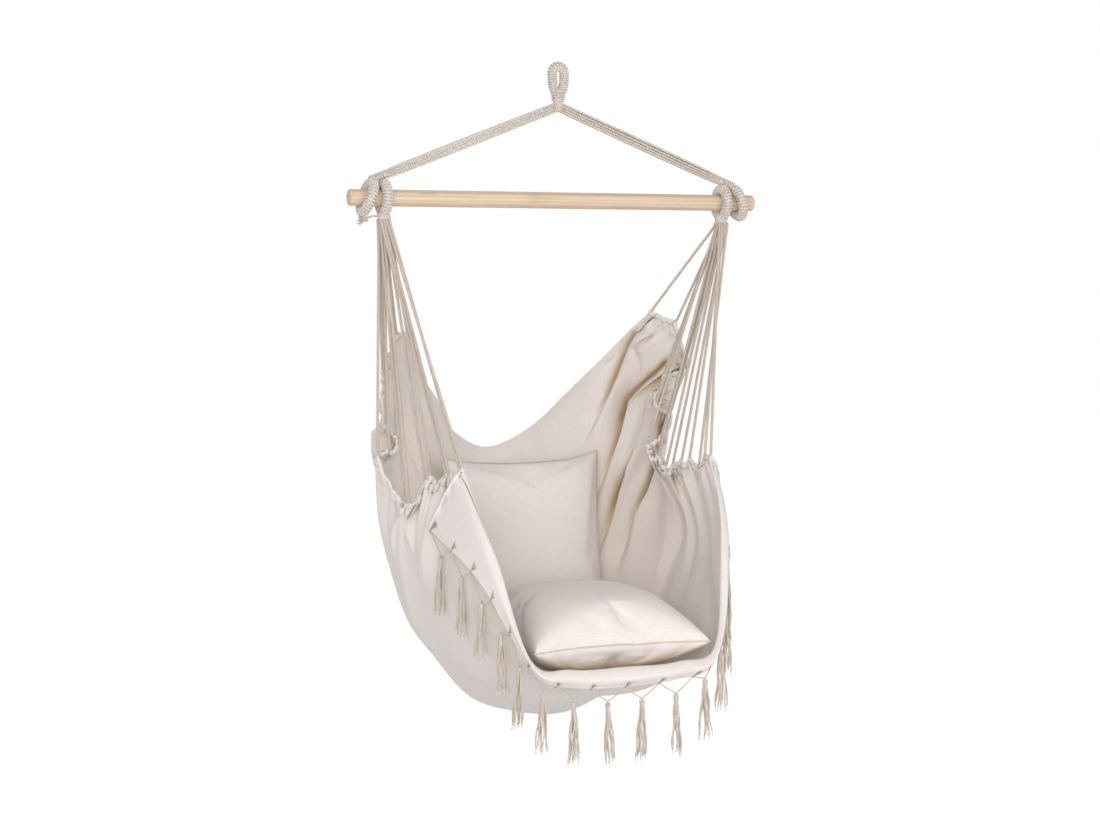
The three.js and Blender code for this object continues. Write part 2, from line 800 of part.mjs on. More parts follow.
const edgeRow = clothGrid[clothGrid.length - 1];
const beforeEdge = clothGrid[clothGrid.length - 2];
const stitchLift = headerRadius + clothThickness / 2 + seatGap;
const stitches = edgeRow.map((p, j) => {
  const outwards = p.clone().sub(beforeEdge[j]).normalize();
  return p.clone().addScaledVector(outwards, stitchLift);
});
const header = [stitches[0]];
const knots = [];
for (let k = 0; k < tasselCount; k += 1) {
  const low = stitches[k].clone().add(stitches[k + 1]).divideScalar(2);
  low.z -= headerDrop;
  knots.push(low);
  header.push(low, stitches[k + 1]);
}
add("fringe_header", "fringe", tube(header, headerRadius, cordSides));

function tasselGeometry() {
  const knot = new THREE.OctahedronGeometry(tasselKnotRadius, 1);
  const strands = [];
  for (let i = 0; i < strandCount; i += 1) {
    const angle = (2 * Math.PI * i) / strandCount;
    const at = (spread, z) => new THREE.Vector3(spread * Math.cos(angle), spread * Math.sin(angle), z);
    const start = tasselKnotRadius / 2;
    const route = [
      at(start, 0),
      at(start + (tasselSplay - start) / 3, -tasselLength / 2),
      at(tasselSplay, -tasselLength),
    ];
    strands.push(tube(route, strandRadius, strandSides));
  }
  return joined([knot, ...strands]);
}

const tasselShape = tasselGeometry();
knots.forEach((low, k) => {
  const tassel = add("tassel_" + (k + 1), "fringe", tasselShape.clone());
  tassel.position.copy(low);
  tassel.position.z -= headerRadius + tasselKnotRadius + seatGap;
});

export default chair;
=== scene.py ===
"""Hammock chair: the looks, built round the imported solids.

Metres, +Z up, the chair faces -Y. The origin is where a hook bears in the hanging loop.
Lengths and shares that the part's source also has are repeated here in metres.
"""
import json
import math
import random

import bpy
import numpy as np
from mathutils import Matrix, Vector
from mathutils.bvhtree import BVHTree

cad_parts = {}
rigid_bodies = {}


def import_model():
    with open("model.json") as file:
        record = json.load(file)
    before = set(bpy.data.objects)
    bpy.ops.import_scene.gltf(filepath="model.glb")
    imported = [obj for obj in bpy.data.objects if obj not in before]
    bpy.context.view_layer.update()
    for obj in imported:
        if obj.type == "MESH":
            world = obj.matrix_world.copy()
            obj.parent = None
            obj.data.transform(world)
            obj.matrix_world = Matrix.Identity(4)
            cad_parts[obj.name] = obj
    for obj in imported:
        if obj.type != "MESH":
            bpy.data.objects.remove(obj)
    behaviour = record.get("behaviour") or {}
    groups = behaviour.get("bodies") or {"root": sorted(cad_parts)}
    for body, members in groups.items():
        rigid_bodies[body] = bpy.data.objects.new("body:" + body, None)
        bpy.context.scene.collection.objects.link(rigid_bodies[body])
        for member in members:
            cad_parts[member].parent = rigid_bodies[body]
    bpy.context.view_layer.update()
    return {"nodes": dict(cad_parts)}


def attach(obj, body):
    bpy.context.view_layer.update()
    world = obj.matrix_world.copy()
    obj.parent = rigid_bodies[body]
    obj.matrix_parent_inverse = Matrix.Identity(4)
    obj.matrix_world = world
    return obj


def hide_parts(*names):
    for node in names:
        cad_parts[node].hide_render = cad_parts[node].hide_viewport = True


for leftover in list(bpy.data.objects):
    bpy.data.objects.remove(leftover)
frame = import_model()
rng = random.Random(11)

X, Y, Z = np.eye(3)
TURN = 2 * math.pi
SIDES = (("right", 1), ("left", -1))
scene = bpy.context.scene


def add_object(name, data):
    made = bpy.data.objects.new(name, data)
    scene.collection.objects.link(made)
    return made



# ---- Dimensions

# The camera stands before the chair, to its left in the picture, and above its cushions.
# The image is 1100 pixels wide, and the focal length is 2030 of them.
camera_place = (-1.70242, -4.16558, -0.447)
camera_yaw = math.radians(22)
camera_pitch = math.radians(3.86)
sensor_width = 36.0
camera_lens = sensor_width * 2030 / 1100

# Loop, ropes and rings. seat_gap is kept between pieces that bear on one another.
seat_gap = 0.0003
loop_spread = 0.0145
loop_leg = 0.033
loop_eye_z = -0.0042
loop_foot = (0.0072, -0.050)
neck_top = -0.044
neck_bottom = -0.066
apex_z = -0.0773
apex_radius = 0.011
strand_radius = 0.0027
strand_pitch = 0.0135
strand_rows = 4
strand_columns = 2
tied_place = 0.4385
tied_z = -0.28107
tied_ring = 0.0331
tied_tilt = math.radians(18)
tied_neck = 0.033
seat_place = 0.402
seat_z = -0.2834
seat_ring = 0.0304
seat_neck_radius = 0.0175
seat_neck_bottom = -0.32777
ring_core = 0.0074
wrap_reach = 0.0091
wrap_radius = 0.0029

# Cords, cloth, cushions and fringe
drawn_radius = 0.0036
cord_space_x = 0.0064
cord_space_y = 0.0074
cord_stub = 0.006
cord_lift = 0.00525
half_width = 0.38
reach = 0.46
drop = 1.45
hem_sag = 0.016
hem_gather = 0.004
cushion_width = 0.406
cushion_depth = 0.430
cushion_crown = 0.100
cushion_belly = 0.060
cushion_centre = (0.0, -0.152, -1.21846)
back_height = 0.425
back_crown = 0.052
back_centre = (0.014, 0.2381, -1.072)
back_lean = math.radians(9)
header_radius = 0.0018
header_drop = 0.028
header_lift = 0.0034
tassel_count = 16
tassel_length = 0.128
tassel_strands = 9

# ---- Camera

camera = add_object("camera", bpy.data.cameras.new("camera"))
camera.location = camera_place
camera.rotation_euler = (math.pi / 2 - camera_pitch, 0, -camera_yaw)
camera.data.sensor_width = sensor_width
camera.data.sensor_fit = "HORIZONTAL"
camera.data.lens = camera_lens
scene.camera = camera

# ---- Materials


class Tree:
    """A node tree, with one call per node."""

    def __init__(self, tree):
        self.tree = tree

    def feed(self, made, inputs):
        """Sets a node's inputs: a socket is linked, anything else is a value."""
        for key, value in inputs.items():
            if isinstance(value, bpy.types.NodeSocket):
                self.tree.links.new(value, made.inputs[key])
            else:
                made.inputs[key].default_value = value

    def node(self, kind, inputs=None, **settings):
        made = self.tree.nodes.new(kind)
        for key, value in settings.items():
            setattr(made, key, value)
        self.feed(made, inputs or {})
        return made

    def math(self, operation, a, b):
        return self.node("ShaderNodeMath", {0: a, 1: b}, operation=operation).outputs[0]

    def mix(self, share, a, b):
        """Mixes two colours, each a socket or three numbers."""
        ends = [c if isinstance(c, bpy.types.NodeSocket) else (*c, 1) for c in (a, b)]
        inputs = {0: share, 6: ends[0], 7: ends[1]}
        return self.node("ShaderNodeMix", inputs, data_type="RGBA").outputs[2]

    def ramp(self, share, low, high):
        """Spreads the part of a share between low and high over 0 to 1."""
        settings = {"Value": share, "From Min": low, "From Max": high}
        return self.node("ShaderNodeMapRange", settings).outputs["Result"]

    def seen(self):
        """1 for rays that the camera sends, also those that a mirror or glass passes on."""
        path = self.node("ShaderNodeLightPath").outputs
        either = self.math("MAXIMUM", path["Is Camera Ray"], path["Is Glossy Ray"])
        return self.math("MAXIMUM", either, path["Is Transmission Ray"])

    def show(self, share, plain, shown, output):
        """Blends two shaders and gives the result to the tree's output node."""
        inputs = {0: share, 1: plain.outputs[0], 2: shown.outputs[0]}
        blend = self.node("ShaderNodeMixShader", inputs)
        self.tree.links.new(blend.outputs[0], self.tree.nodes[output].inputs["Surface"])


class Nodes(Tree):
    """A material, with the textures that its looks are made of."""

    def __init__(self, name, colour, roughness, sheen=0.0):
        self.material = bpy.data.materials.new(name)
        self.material.use_nodes = True
        super().__init__(self.material.node_tree)
        self.shader = self.tree.nodes["Principled BSDF"]
        self.feed(self.shader, {"Base Color": (*colour, 1), "Roughness": roughness,
                                "Specular IOR Level": 0.25, "Sheen Weight": sheen,
                                "Sheen Roughness": 0.5})

    def place(self, source, scale, turn=(0, 0, 0)):
        """Texture coordinates from UV or Object, scaled per metre."""
        start = self.node("ShaderNodeTexCoord").outputs[source]
        settings = {"Vector": start, "Scale": scale, "Rotation": turn}
        return self.node("ShaderNodeMapping", settings).outputs["Vector"]

    def noise(self, vector, scale=1.0, detail=2.0, roughness=0.5, warp=0.0):
        settings = {"Vector": vector, "Scale": scale, "Detail": detail}
        settings.update({"Roughness": roughness, "Distortion": warp})
        return self.node("ShaderNodeTexNoise", settings).outputs["Fac"]

    def waves(self, vector, direction="X", warp=0.0, detail=0.0):
        """Bands one unit of the vector apart."""
        settings = {"Vector": vector, "Scale": TURN / 20, "Distortion": warp, "Detail": detail}
        made = self.node("ShaderNodeTexWave", settings, bands_direction=direction)
        return made.outputs["Fac"]

    def finish(self, colour, bumps, roughness=None):
        """Links the colour, the bumps one over another and, where it varies, the roughness."""
        self.feed(self.shader, {"Base Color": colour})
        if roughness is not None:
            self.feed(self.shader, {"Roughness": roughness})
        below = {}
        for height, distance, strength in bumps:
            settings = {"Height": height, "Distance": distance, "Strength": strength, **below}
            below = {"Normal": self.node("ShaderNodeBump", settings).outputs["Normal"]}
        self.feed(self.shader, below)
        return self.material


def canvas(name, pale, warm, thread, shade_reach, glow):
    """Woven cotton: yarns both ways, thicker yarns here and there, soft mottling. Painted shade:
    recesses within three times shade_reach are tinted warmer, and those narrower than shade_reach
    darker, by ambient occlusion. glow is the share of light that passes through it."""
    m = Nodes(name, pale, 0.92, 0.18)
    threaded = m.place("UV", (1 / thread,) * 3)
    weave = m.math("MULTIPLY", *(m.waves(threaded, way, 0.4, 1.0) for way in "XY"))
    thick = [m.noise(m.place("UV", scale), 1.0, 3.0) for scale in ((60, 900, 900), (900, 60, 900))]
    slubs = m.math("ADD", *thick)
    plain = m.place("UV", (1, 1, 1))
    cloudy = m.noise(plain, 7.0, 4.0, 0.6)
    fuzz = m.noise(plain, 420.0, 2.0)
    tint = m.mix(m.ramp(cloudy, 0.3, 0.75), pale, warm)
    threads_and_shade = m.mix(m.ramp(slubs, 0.75, 1.3), tint, tuple(0.9 * c for c in warm))
    # Painted shade: ambient occlusion tints wide recesses warm and narrow ones dark brown
    for wide, low, high, shade in ((3 * shade_reach, 0.16, 0.64, painted_wide_fold_shade),
                                   (shade_reach, 0.14, 0.66, painted_narrow_fold_shade)):
        open_share = m.node("ShaderNodeAmbientOcclusion", {"Distance": wide}, samples=8)
        threads_and_shade = m.mix(m.ramp(open_share.outputs["AO"], low, high), shade, threads_and_shade)
    m.feed(m.shader, {"Subsurface Weight": glow, "Subsurface Radius": (1.0, 0.85, 0.65),
                      "Subsurface Scale": 0.004})
    bumps = ((slubs, 0.0004, 0.25), (weave, 0.0003, 0.20), (fuzz, 0.0002, 0.20))
    return m.finish(threads_and_shade, bumps, m.ramp(cloudy, -4.0, 1.6))


def twisted(name, pale, deep, yarn, depth):
    """Twisted cotton cord: fine yarns along the strands, with fuzz and random dark specks. The
    darker grooves between the yarns, and in patches between the strands as strong as depth, are
    painted shade.
    """
    m = Nodes(name, pale, 0.95, 0.25)
    slant = m.place("UV", (1 / yarn, 1 / yarn, 1), (0, 0, math.radians(24)))
    yarns = m.waves(slant, "X", 0.8, 1.0)
    along, still = m.place("UV", (1, 1, 1)), m.place("Object", (1, 1, 1))
    speckle = m.noise(along, 340.0, 3.0, 0.6)
    cloudy = m.noise(still, 22.0, 3.0)
    fuzz = m.noise(still, 1500.0, 2.0)
    dusky = tuple(0.7 * a + 0.3 * b for a, b in zip(pale, deep))
    tint = m.mix(m.ramp(cloudy, 0.3, 0.9), pale, dusky)
    # Painted shade: the grooves between the yarns are darkened towards deep
    grooves = m.mix(m.ramp(yarns, 0.30, 0.0), tint, deep)
    speckle_and_shade = m.mix(m.ramp(speckle, 0.62, 0.80), grooves, deep)
    # Painted shade in patches along the valleys between the strands, as strong as depth says
    groove = m.node("ShaderNodeAttribute", attribute_name="groove").outputs["Fac"]
    patchy_groove_shade = m.math("MULTIPLY", groove, m.ramp(m.noise(along, 160.0), 0.25, 0.60))
    speckle_and_shade = m.mix(m.math("MULTIPLY", patchy_groove_shade, depth), speckle_and_shade, deep)
    bumps = ((yarns, 0.0004, 0.45), (fuzz, 0.0003, 0.30))
    return m.finish(speckle_and_shade, bumps)


def pale_wood(name):
    """Pale straight-grained wood: long streaks, growth lines, pores and a worn satin face."""
    light, mid, dark = (0.72, 0.575, 0.43), (0.64, 0.495, 0.355), (0.50, 0.36, 0.24)
    m = Nodes(name, mid, 0.55)
    m.feed(m.shader, {"Specular IOR Level": 0.4})
    streaks = m.noise(m.place("Object", (3, 150, 150)), 1.0, 5.0, 0.6, 0.6)
    lines = m.waves(m.place("Object", (4, 190, 120)), "Z", 5.0, 3.0)
    clouds = m.noise(m.place("Object", (6, 22, 22)), 1.0, 3.0, 0.5)
    pores = m.noise(m.place("Object", (60, 1800, 1800)), 1.0, 2.0, 0.5)
    knots = m.noise(m.place("Object", (9, 30, 30)), 1.0, 1.0, 0.4)
    wood = m.mix(m.ramp(streaks, 0.30, 0.70), light, mid)
    for marks, low, high, most, tone in ((lines, 0.55, 0.95, 0.55, dark),
                                         (clouds, 0.50, 0.75, 0.45, light),
                                         (knots, 0.68, 0.80, 0.60, dark),
                                         (pores, 0.62, 0.80, 0.35, dark)):
        wood = m.mix(m.math("MULTIPLY", m.ramp(marks, low, high), most), wood, tone)
    bumps = ((streaks, 0.0003, 0.35), (pores, 0.0002, 0.35))
    return m.finish(wood, bumps, m.ramp(clouds, -1.4, 1.9))


# Painted shade for the canvas's recesses: a warm tint for wide ones, dark brown for narrow ones
painted_wide_fold_shade = (0.72, 0.61, 0.45)
painted_narrow_fold_shade = (0.46, 0.33, 0.20)
cloth_pale, cloth_warm = (0.825, 0.765, 0.742), (0.805, 0.742, 0.705)
cloth_look = canvas("canvas_cloth", cloth_pale, cloth_warm, 0.0011, 0.035, 0.35)
cushion_pale, cushion_warm = (0.84, 0.775, 0.75), (0.81, 0.74, 0.71)
cushion_look = canvas("canvas_cushion", cushion_pale, cushion_warm, 0.0008, 0.012, 0.0)
rope_look = twisted("twisted_rope", (0.87, 0.81, 0.76), (0.50, 0.40, 0.31), 0.0009, 0.75)
winding_look = twisted("twisted_winding", (0.89, 0.83, 0.785), (0.58, 0.49, 0.41), 0.0009, 0.7)
cord_look = twisted("twisted_cord", (0.88, 0.81, 0.75), (0.46, 0.35, 0.25), 0.0009, 0.95)
fringe_look = twisted("twisted_fringe", (0.92, 0.86, 0.79), (0.50, 0.41, 0.31), 0.0008, 0.9)
# The stitch thread is darker than the cloth and the fringe: painted shade for the shadows round the
# stitches
stitch_shade_look = twisted("stitch_thread_shade", (0.60, 0.50, 0.41), (0.36, 0.28, 0.21), 0.0006, 0.8)
# The piping's cloth is darker than the cushion's: painted shade along the seam
seam_shade_look = canvas("canvas_seam_shade", (0.70, 0.61, 0.55), (0.64, 0.55, 0.48), 0.0008, 0.006, 0.0)
wood_look = pale_wood("pale_wood")

# ---- Mesh building


class Build:
    """Collects points, faces and their texture places, and makes one piece of them."""

    def __init__(self):
        self.points, self.faces, self.uvs, self.grooves = [], [], [], []
        self.count = 0

    def add(self, points, faces, uvs, grooves=None):
        self.points.append(np.asarray(points, float).reshape(-1, 3))
        self.faces += [tuple(i + self.count for i in face) for face in faces]
        self.uvs.append(np.asarray(uvs, float).reshape(-1, 2))
        self.grooves.append(np.zeros(len(self.uvs[-1])) if grooves is None else np.asarray(grooves))
        self.count += len(self.points[-1])

    def piece(self, name, look, slot, body, *nodes):
        mesh = bpy.data.meshes.new(name)
        mesh.from_pydata(np.concatenate(self.points).tolist(), [], self.faces)
        layer = mesh.uv_layers.new(name="UVMap")
        layer.data.foreach_set("uv", np.concatenate(self.uvs).ravel())
        groove = mesh.attributes.new("groove", "FLOAT", "CORNER")
        groove.data.foreach_set("value", np.concatenate(self.grooves))
        mesh.shade_smooth()
        mesh.materials.append(look)
        made = add_object(name, mesh)
        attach(made, body)
        if nodes:
            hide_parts(*nodes)
        return made


def unit(v):
    """A direction, or a row of them, at length 1."""
    return v / np.linalg.norm(v, axis=-1, keepdims=True)


def run_along(points):
    """How far along a route each of its places is."""
    return np.concatenate([[0], np.cumsum(np.linalg.norm(np.diff(points, axis=0), axis=1))])


def read_at(at, stations, rows):
    """Rows of numbers that stand at stations, read between them."""
    return np.stack([np.interp(at, stations, column) for column in rows.T], axis=1)


def even_route(points, step):
    """The same route, with its places at equal steps."""
    points = np.asarray(points, float)
    run = run_along(points)
    count = max(2, int(round(run[-1] / step)) + 1)
    return read_at(np.linspace(0, run[-1], count), run, points)


def smooth_route(points, step, parts=12):
    """A smooth curve through the points, with places at equal steps."""
    p = np.asarray(points, float)
    p = np.concatenate([[2 * p[0] - p[1]], p, [2 * p[-1] - p[-2]]])
    u = np.linspace(0, 1, parts, endpoint=False)[:, None]
    runs = []
    for a, b, c, d in zip(p[:-3], p[1:-2], p[2:-1], p[3:]):
        runs.append(b + 0.5 * u * (c - a) + u**2 * (a - 2.5 * b + 2 * c - 0.5 * d)
                    + u**3 * (1.5 * (b - c) + 0.5 * (d - a)))
    return even_route(np.concatenate(runs + [p[-2:-1]]), step)


def drawn_route(points, step, reach):
    """Straight runs between the points, with their corners eased over so many steps on both
    sides, for a cord drawn tight."""
    route = even_route(points, step)
    kernel = np.hanning(2 * reach + 3)[1:-1]
    kernel /= kernel.sum()
    behind = 2 * route[0] - route[reach:0:-1]
    ahead = 2 * route[-1] - route[-2:-reach - 2:-1]
    padded = np.concatenate([behind, route, ahead])
    eased = np.stack([np.convolve(column, kernel, "valid") for column in padded.T], axis=1)
    return even_route(eased, step)


def route_frames(route, first=None):
    """The tangent and two directions square to it at each place, without any twist."""
    tangents = unit(np.gradient(route, axis=0))
    side = first if first is not None else (Y if abs(tangents[0][1]) < 0.8 else X)
    sides = []
    for t in tangents:
        side = side - t * side.dot(t)
        side = side / math.sqrt(side.dot(side))
        sides.append(side)
    sides = np.array(sides)
    return tangents, sides, np.cross(tangents, sides)


# The outline of a cord of three strands, and of one of two, as shares of its radius
three_strands = np.array([1, 0.87, 0.72, 0.87] * 3)
two_strands = np.array([1, 0.80, 0.58, 0.80] * 2)
# A winding's places in each turn, and the length in which its own strands go round once
steps_per_turn = 34
winding_pitch = 0.0095


def rope(build, route, radius, pitch, outline=three_strands, spin=0.0, taper=None):
    """Adds a cord along a route of even steps. Its strands go round once in each pitch, and
    taper gives a share of the radius at each place."""
    around = len(outline)
    tangents, sides, ups = route_frames(route)
    run = run_along(route)
    angle = (TURN * run / pitch + spin)[:, None] + np.linspace(0, TURN, around, endpoint=False)
    radii = radius * outline[None, :] * (1 if taper is None else np.asarray(taper)[:, None])
    points = (route[:, None] + (radii * np.cos(angle))[..., None] * sides[:, None]
              + (radii * np.sin(angle))[..., None] * ups[:, None])
    add_tube(build, points, run, radius, (1 - outline) / 0.28)


def cells_of(numbers):
    """The four corners of each cell in a grid of numbers."""
    corners = (numbers[:-1, :-1], numbers[:-1, 1:], numbers[1:, 1:], numbers[1:, :-1])
    return np.stack(corners, axis=-1).reshape(-1, 4)


def add_tube(build, points, run, radius, grooves):
    """Adds a closed tube from its rings of points. grooves says how deep each line of it lies."""
    count, around = points.shape[:2]
    ring, line = np.divmod(cells_of(np.arange(count * (around + 1)).reshape(count, -1)), around + 1)
    girth = TURN * radius / around
    uvs = np.stack([line * girth, run[ring]], axis=-1).reshape(-1, 2)
    line %= around
    last = (count - 1) * around
    ends = [range(around - 1, -1, -1), range(last, last + around)]
    end_uvs = [(n * girth, 0.0) for n in range(around)] * 2
    build.add(points, (ring * around + line).tolist() + ends, np.concatenate([uvs, end_uvs]),
              np.concatenate([grooves[line].ravel(), grooves, grooves]))


def tube(build, route, radius, around=10):
    """Adds a plain round tube. radius is a number or one for each place."""
    rope(build, route, 1.0, 1e9, np.ones(around), 0.0, np.broadcast_to(radius, len(route)))


def wound(build, centres, outs, sides, reaches, turns, radius, squash=0.0, spin=0.0):
    """Adds one cord wound round a path, given at even shares of it. The two directions and
    the reach are for each place of the path, or one for all."""
    share = np.linspace(0, 1, int(turns * steps_per_turn) + 1)
    at = np.linspace(0, 1, len(centres))

    def along(values, size=3):
        return read_at(share, at, np.broadcast_to(values, (len(centres), size)))

    angle = TURN * turns * share + spin
    around = np.cos(angle)[:, None] * along(outs) + np.sin(angle)[:, None] * along(sides)
    route = along(centres) + along(np.reshape(reaches, (-1, 1)), 1) * around
    rope(build, route, radius, winding_pitch, taper=1 + squash * np.cos(angle))


# ---- Hanging loop and its neck

route_step = 0.0015


def loop_path():
    """Up one leg of the loop, over the eye and down the other, with the two feet."""
    foot_x, foot_z = loop_foot
    left = [(-foot_x, foot_z), (-loop_spread * 0.80, loop_eye_z - loop_leg),
            (-loop_spread * 0.95, loop_eye_z - loop_leg / 2), (-loop_spread, loop_eye_z)]
    arc = [(-loop_spread * math.cos(a), loop_eye_z + loop_spread * math.sin(a))
           for a in np.linspace(0, math.pi, 25)[1:-1]]
    right = [(-x, z) for x, z in reversed(left)]
    flat = [(x, 0, z) for x, z in left + arc + right]
    return even_route(smooth_route(flat, route_step), route_step)


loop_route = loop_path()
loop_tangents, _, _ = route_frames(loop_route, Y)
loop_outs = np.cross(Y, loop_tangents)
loop_shares = np.linspace(-1, 1, len(loop_route))
loop_reach = 0.0088 - 0.0024 * np.clip((abs(loop_shares) - 0.80) / 0.20, 0, 1)
loop = Build()
tube(loop, loop_route, 0.0070)
wound(loop, loop_route, loop_outs, Y, loop_reach, turns=27, radius=0.0026, squash=0.06)
neck_core = even_route([neck_bottom * Z, (neck_top + 0.003) * Z], 0.003)
tube(loop, neck_core, 0.0106, around=16)
loop.piece("loop_cord", winding_look, "winding", "loop", "hanging_loop", "hanging_loop_winding")

neck_line = even_route([(neck_bottom + 0.0022) * Z, (neck_top - 0.0010) * Z], 0.002)
neck_reach = np.linspace(0.0130, 0.0134, len(neck_line))
neck = Build()
wound(neck, neck_line, X, Y, neck_reach, turns=4, radius=0.00255)
neck.piece("neck_cord", winding_look, "winding", "neck", "neck_winding")

# ---- Rings and ropes


def ring_piece(name, centre, axis, up, ring_radius, turns, body, nodes, stem):
    """A ring of core rope under tight turns of cord, with its neck."""
    opening = math.radians(56)

    def outwards(start, end, count):
        angles = np.linspace(start, end, count)[:, None]
        return np.cos(angles) * Y + np.sin(angles) * up

    made = Build()
    tube(made, centre + ring_radius * outwards(0, TURN, 65), ring_core, around=12)
    outs = outwards(math.pi / 2 + opening / 2, math.pi / 2 + TURN - opening / 2, 97)
    wound(made, centre + ring_radius * outs, outs, axis, wrap_reach, turns, wrap_radius,
          squash=0.06)
    stem(made)
    return made.piece(name, winding_look, "winding", body, *nodes)


suspension_strands = {}
for side_name, sign in SIDES:
    tilt = -sign * tied_tilt
    axis = np.array([math.cos(tilt), 0, -math.sin(tilt)])
    up = np.array([math.sin(tilt), 0, math.cos(tilt)])
    centre = np.array([sign * tied_place, 0, tied_z])
    top = centre + up * (tied_ring + 0.0052)
    apex = np.array([0, 0, apex_z])
    along = unit(apex - top)
    face = top + along * tied_neck
    square = unit(np.cross(Y, along))

    def tied_stem(made, top=top, along=along, square=square):
        line = even_route([top - along * 0.006, top + along * (tied_neck - 0.0025)], 0.002)
        core = even_route([top - along * 0.008, top + along * (tied_neck - 0.0005)], 0.002)
        tube(made, core, 0.0062, around=12)
        reaches = np.linspace(0.0082, 0.0076, len(line))
        wound(made, line, square, Y, reaches, turns=6.5, radius=0.0025)

    node = "suspension_ring_" + side_name
    ring_piece("suspension_wrap_" + side_name, centre, axis, up, tied_ring, 29, "suspension",
               (node, node + "_winding"), tied_stem)

    # Eight strands of cord between the neck and the apex
    start = face + along * seat_gap
    end = apex - along * (apex_radius + seat_gap)
    ropes = Build()
    strands = []
    for row in range(strand_rows):
        for column in range(strand_columns):
            high = (row - (strand_rows - 1) / 2) * 2 * strand_radius * sign
            wide = (column - (strand_columns - 1) / 2) * 2 * strand_radius
            offset = high * square + wide * Y
            slack = 0.0011 * (rng.random() - 0.5) * square + 0.0011 * (rng.random() - 0.5) * Y
            line = []
            for share in np.linspace(0, 1, 12):
                grip = 1 - 0.16 * max(0, 1 - share / 0.06) + 0.10 * math.sin(math.pi * share)
                line.append(start + (end - start) * share + offset * grip
                            + slack * math.sin(math.pi * share) ** 0.5)
            route = smooth_route(line, 0.0014)
            rope(ropes, route, strand_radius + 0.00005, strand_pitch, spin=rng.random() * TURN)
            strands.append((route[-1], unit(route[-1] - route[-4]), high, wide))
    suspension_strands[sign] = strands
    ropes.piece("suspension_strands_" + side_name, rope_look, "rope", "suspension",
                "suspension_rope_" + side_name)

# The apex: each strand bends up from its bundle into the neck
apex_ropes = Build()
for sign, strands in suspension_strands.items():
    for tip, along, high, wide in strands:
        into = np.array([sign * (0.0022 + 0.45 * abs(high + sign * 0.0081)), wide * 0.9,
                         neck_bottom - 0.0004])
        middle = tip + along * 0.0052 + 0.0008 * Z
        between = into * 0.5 + middle * 0.5 + along * 0.0014
        route = smooth_route([tip, middle, between, into], 0.0011)
        rope(apex_ropes, route, strand_radius, strand_pitch, spin=rng.random() * TURN)
apex_ropes.piece("apex_strands", rope_look, "rope", "apex", "apex_knot")

for side_name, sign in SIDES:
    centre = np.array([sign * seat_place, 0, seat_z])

    def seat_stem(made, centre=centre):
        low = np.array([centre[0], 0, seat_neck_bottom + 0.0026])
        high = np.array([centre[0], 0, seat_z - seat_ring - 0.0040])
        line = even_route([low, high], route_step)
        core = even_route([low - 0.0034 * Z, high + 0.008 * Z], 0.002)
        widths = np.interp(np.linspace(0, 1, len(core)), [0, 0.7, 1], [0.0127, 0.0124, 0.0060])
        tube(made, core, widths, around=20)
        slanted = unit(X + 0.28 * math.copysign(1, centre[0]) * Z)
        reaches = np.interp(np.linspace(0, 1, len(line)), [0, 0.6, 1], [0.0118, 0.0130, 0.0126])
        wound(made, line, slanted, Y, reaches, turns=3.1, radius=0.0031)

    node = "seat_ring_" + side_name
    ring_piece("seat_wrap_" + side_name, centre, X * sign, -Z, seat_ring, 27, "seat",
               (node, node + "_winding"), seat_stem)

# ---- The cloth's own form

row_shares = [0, 0.075, 0.105, 0.135, 0.24, 0.4, 0.55, 0.7, 0.86, 1]
fold_share = 0.105
net_shares = [
    [(0, -0.8, 0.894), (0.309, -0.8, 0.891), (0.545, -0.795, 0.864), (0.75, -0.605, 0.744),
     (0.914, -0.272, 0.678)],
    [(0, -0.83, 0.878), (0.318, -0.83, 0.874), (0.56, -0.815, 0.851), (0.718, -0.64, 0.701),
     (0.796, -0.406, 0.597)],
    [(0, -0.8, 0.87), (0.318, -0.8, 0.866), (0.55, -0.786, 0.847), (0.685, -0.633, 0.694),
     (0.756, -0.413, 0.591)],
    [(0, -0.744, 0.875), (0.33, -0.744, 0.872), (0.575, -0.735, 0.854), (0.71, -0.585, 0.694),
     (0.787, -0.362, 0.591)],
    [(0, -0.467, 0.924), (0.4, -0.467, 0.912), (0.69, -0.413, 0.835), (0.845, -0.272, 0.71),
     (0.837, -0.174, 0.6)],
    [(0, -0.065, 0.962), (0.425, -0.054, 0.943), (0.745, -0.022, 0.859), (0.925, 0.022, 0.717),
     (0.868, 0.022, 0.597)],
    [(0, 0.326, 1), (0.42, 0.315, 0.967), (0.75, 0.283, 0.862), (0.94, 0.239, 0.697),
     (0.868, 0.174, 0.545)],
    [(0, 0.635, 0.91), (0.374, 0.615, 0.879), (0.69, 0.54, 0.772), (0.895, 0.425, 0.621),
     (0.921, 0.239, 0.476)],
    [(0, 0.75, 0.752), (0.311, 0.717, 0.721), (0.584, 0.63, 0.624), (0.803, 0.478, 0.514),
     (0.908, 0.272, 0.421)],
    [(0, 1, 0.597), (0.25, 0.946, 0.569), (0.447, 0.772, 0.503), (0.618, 0.57, 0.436),
     (0.755, 0.326, 0.372)],
]
right_hem = [
    (0.762, 0.326, 0.371), (0.898, 0.261, 0.388), (1.006, 0.304, 0.459), (0.775, 0.174, 0.472),
    (0.71, 0.152, 0.516), (0.804, 0.141, 0.531), (0.732, 0.12, 0.569), (0.631, 0.104, 0.581),
    (0.704, 0.098, 0.6), (0.734, 0.057, 0.615), (0.762, 0.03, 0.612), (0.791, -0.022, 0.604),
    (0.806, -0.087, 0.598), (0.814, -0.174, 0.614), (0.788, -0.283, 0.589), (0.774, -0.37, 0.587),
]
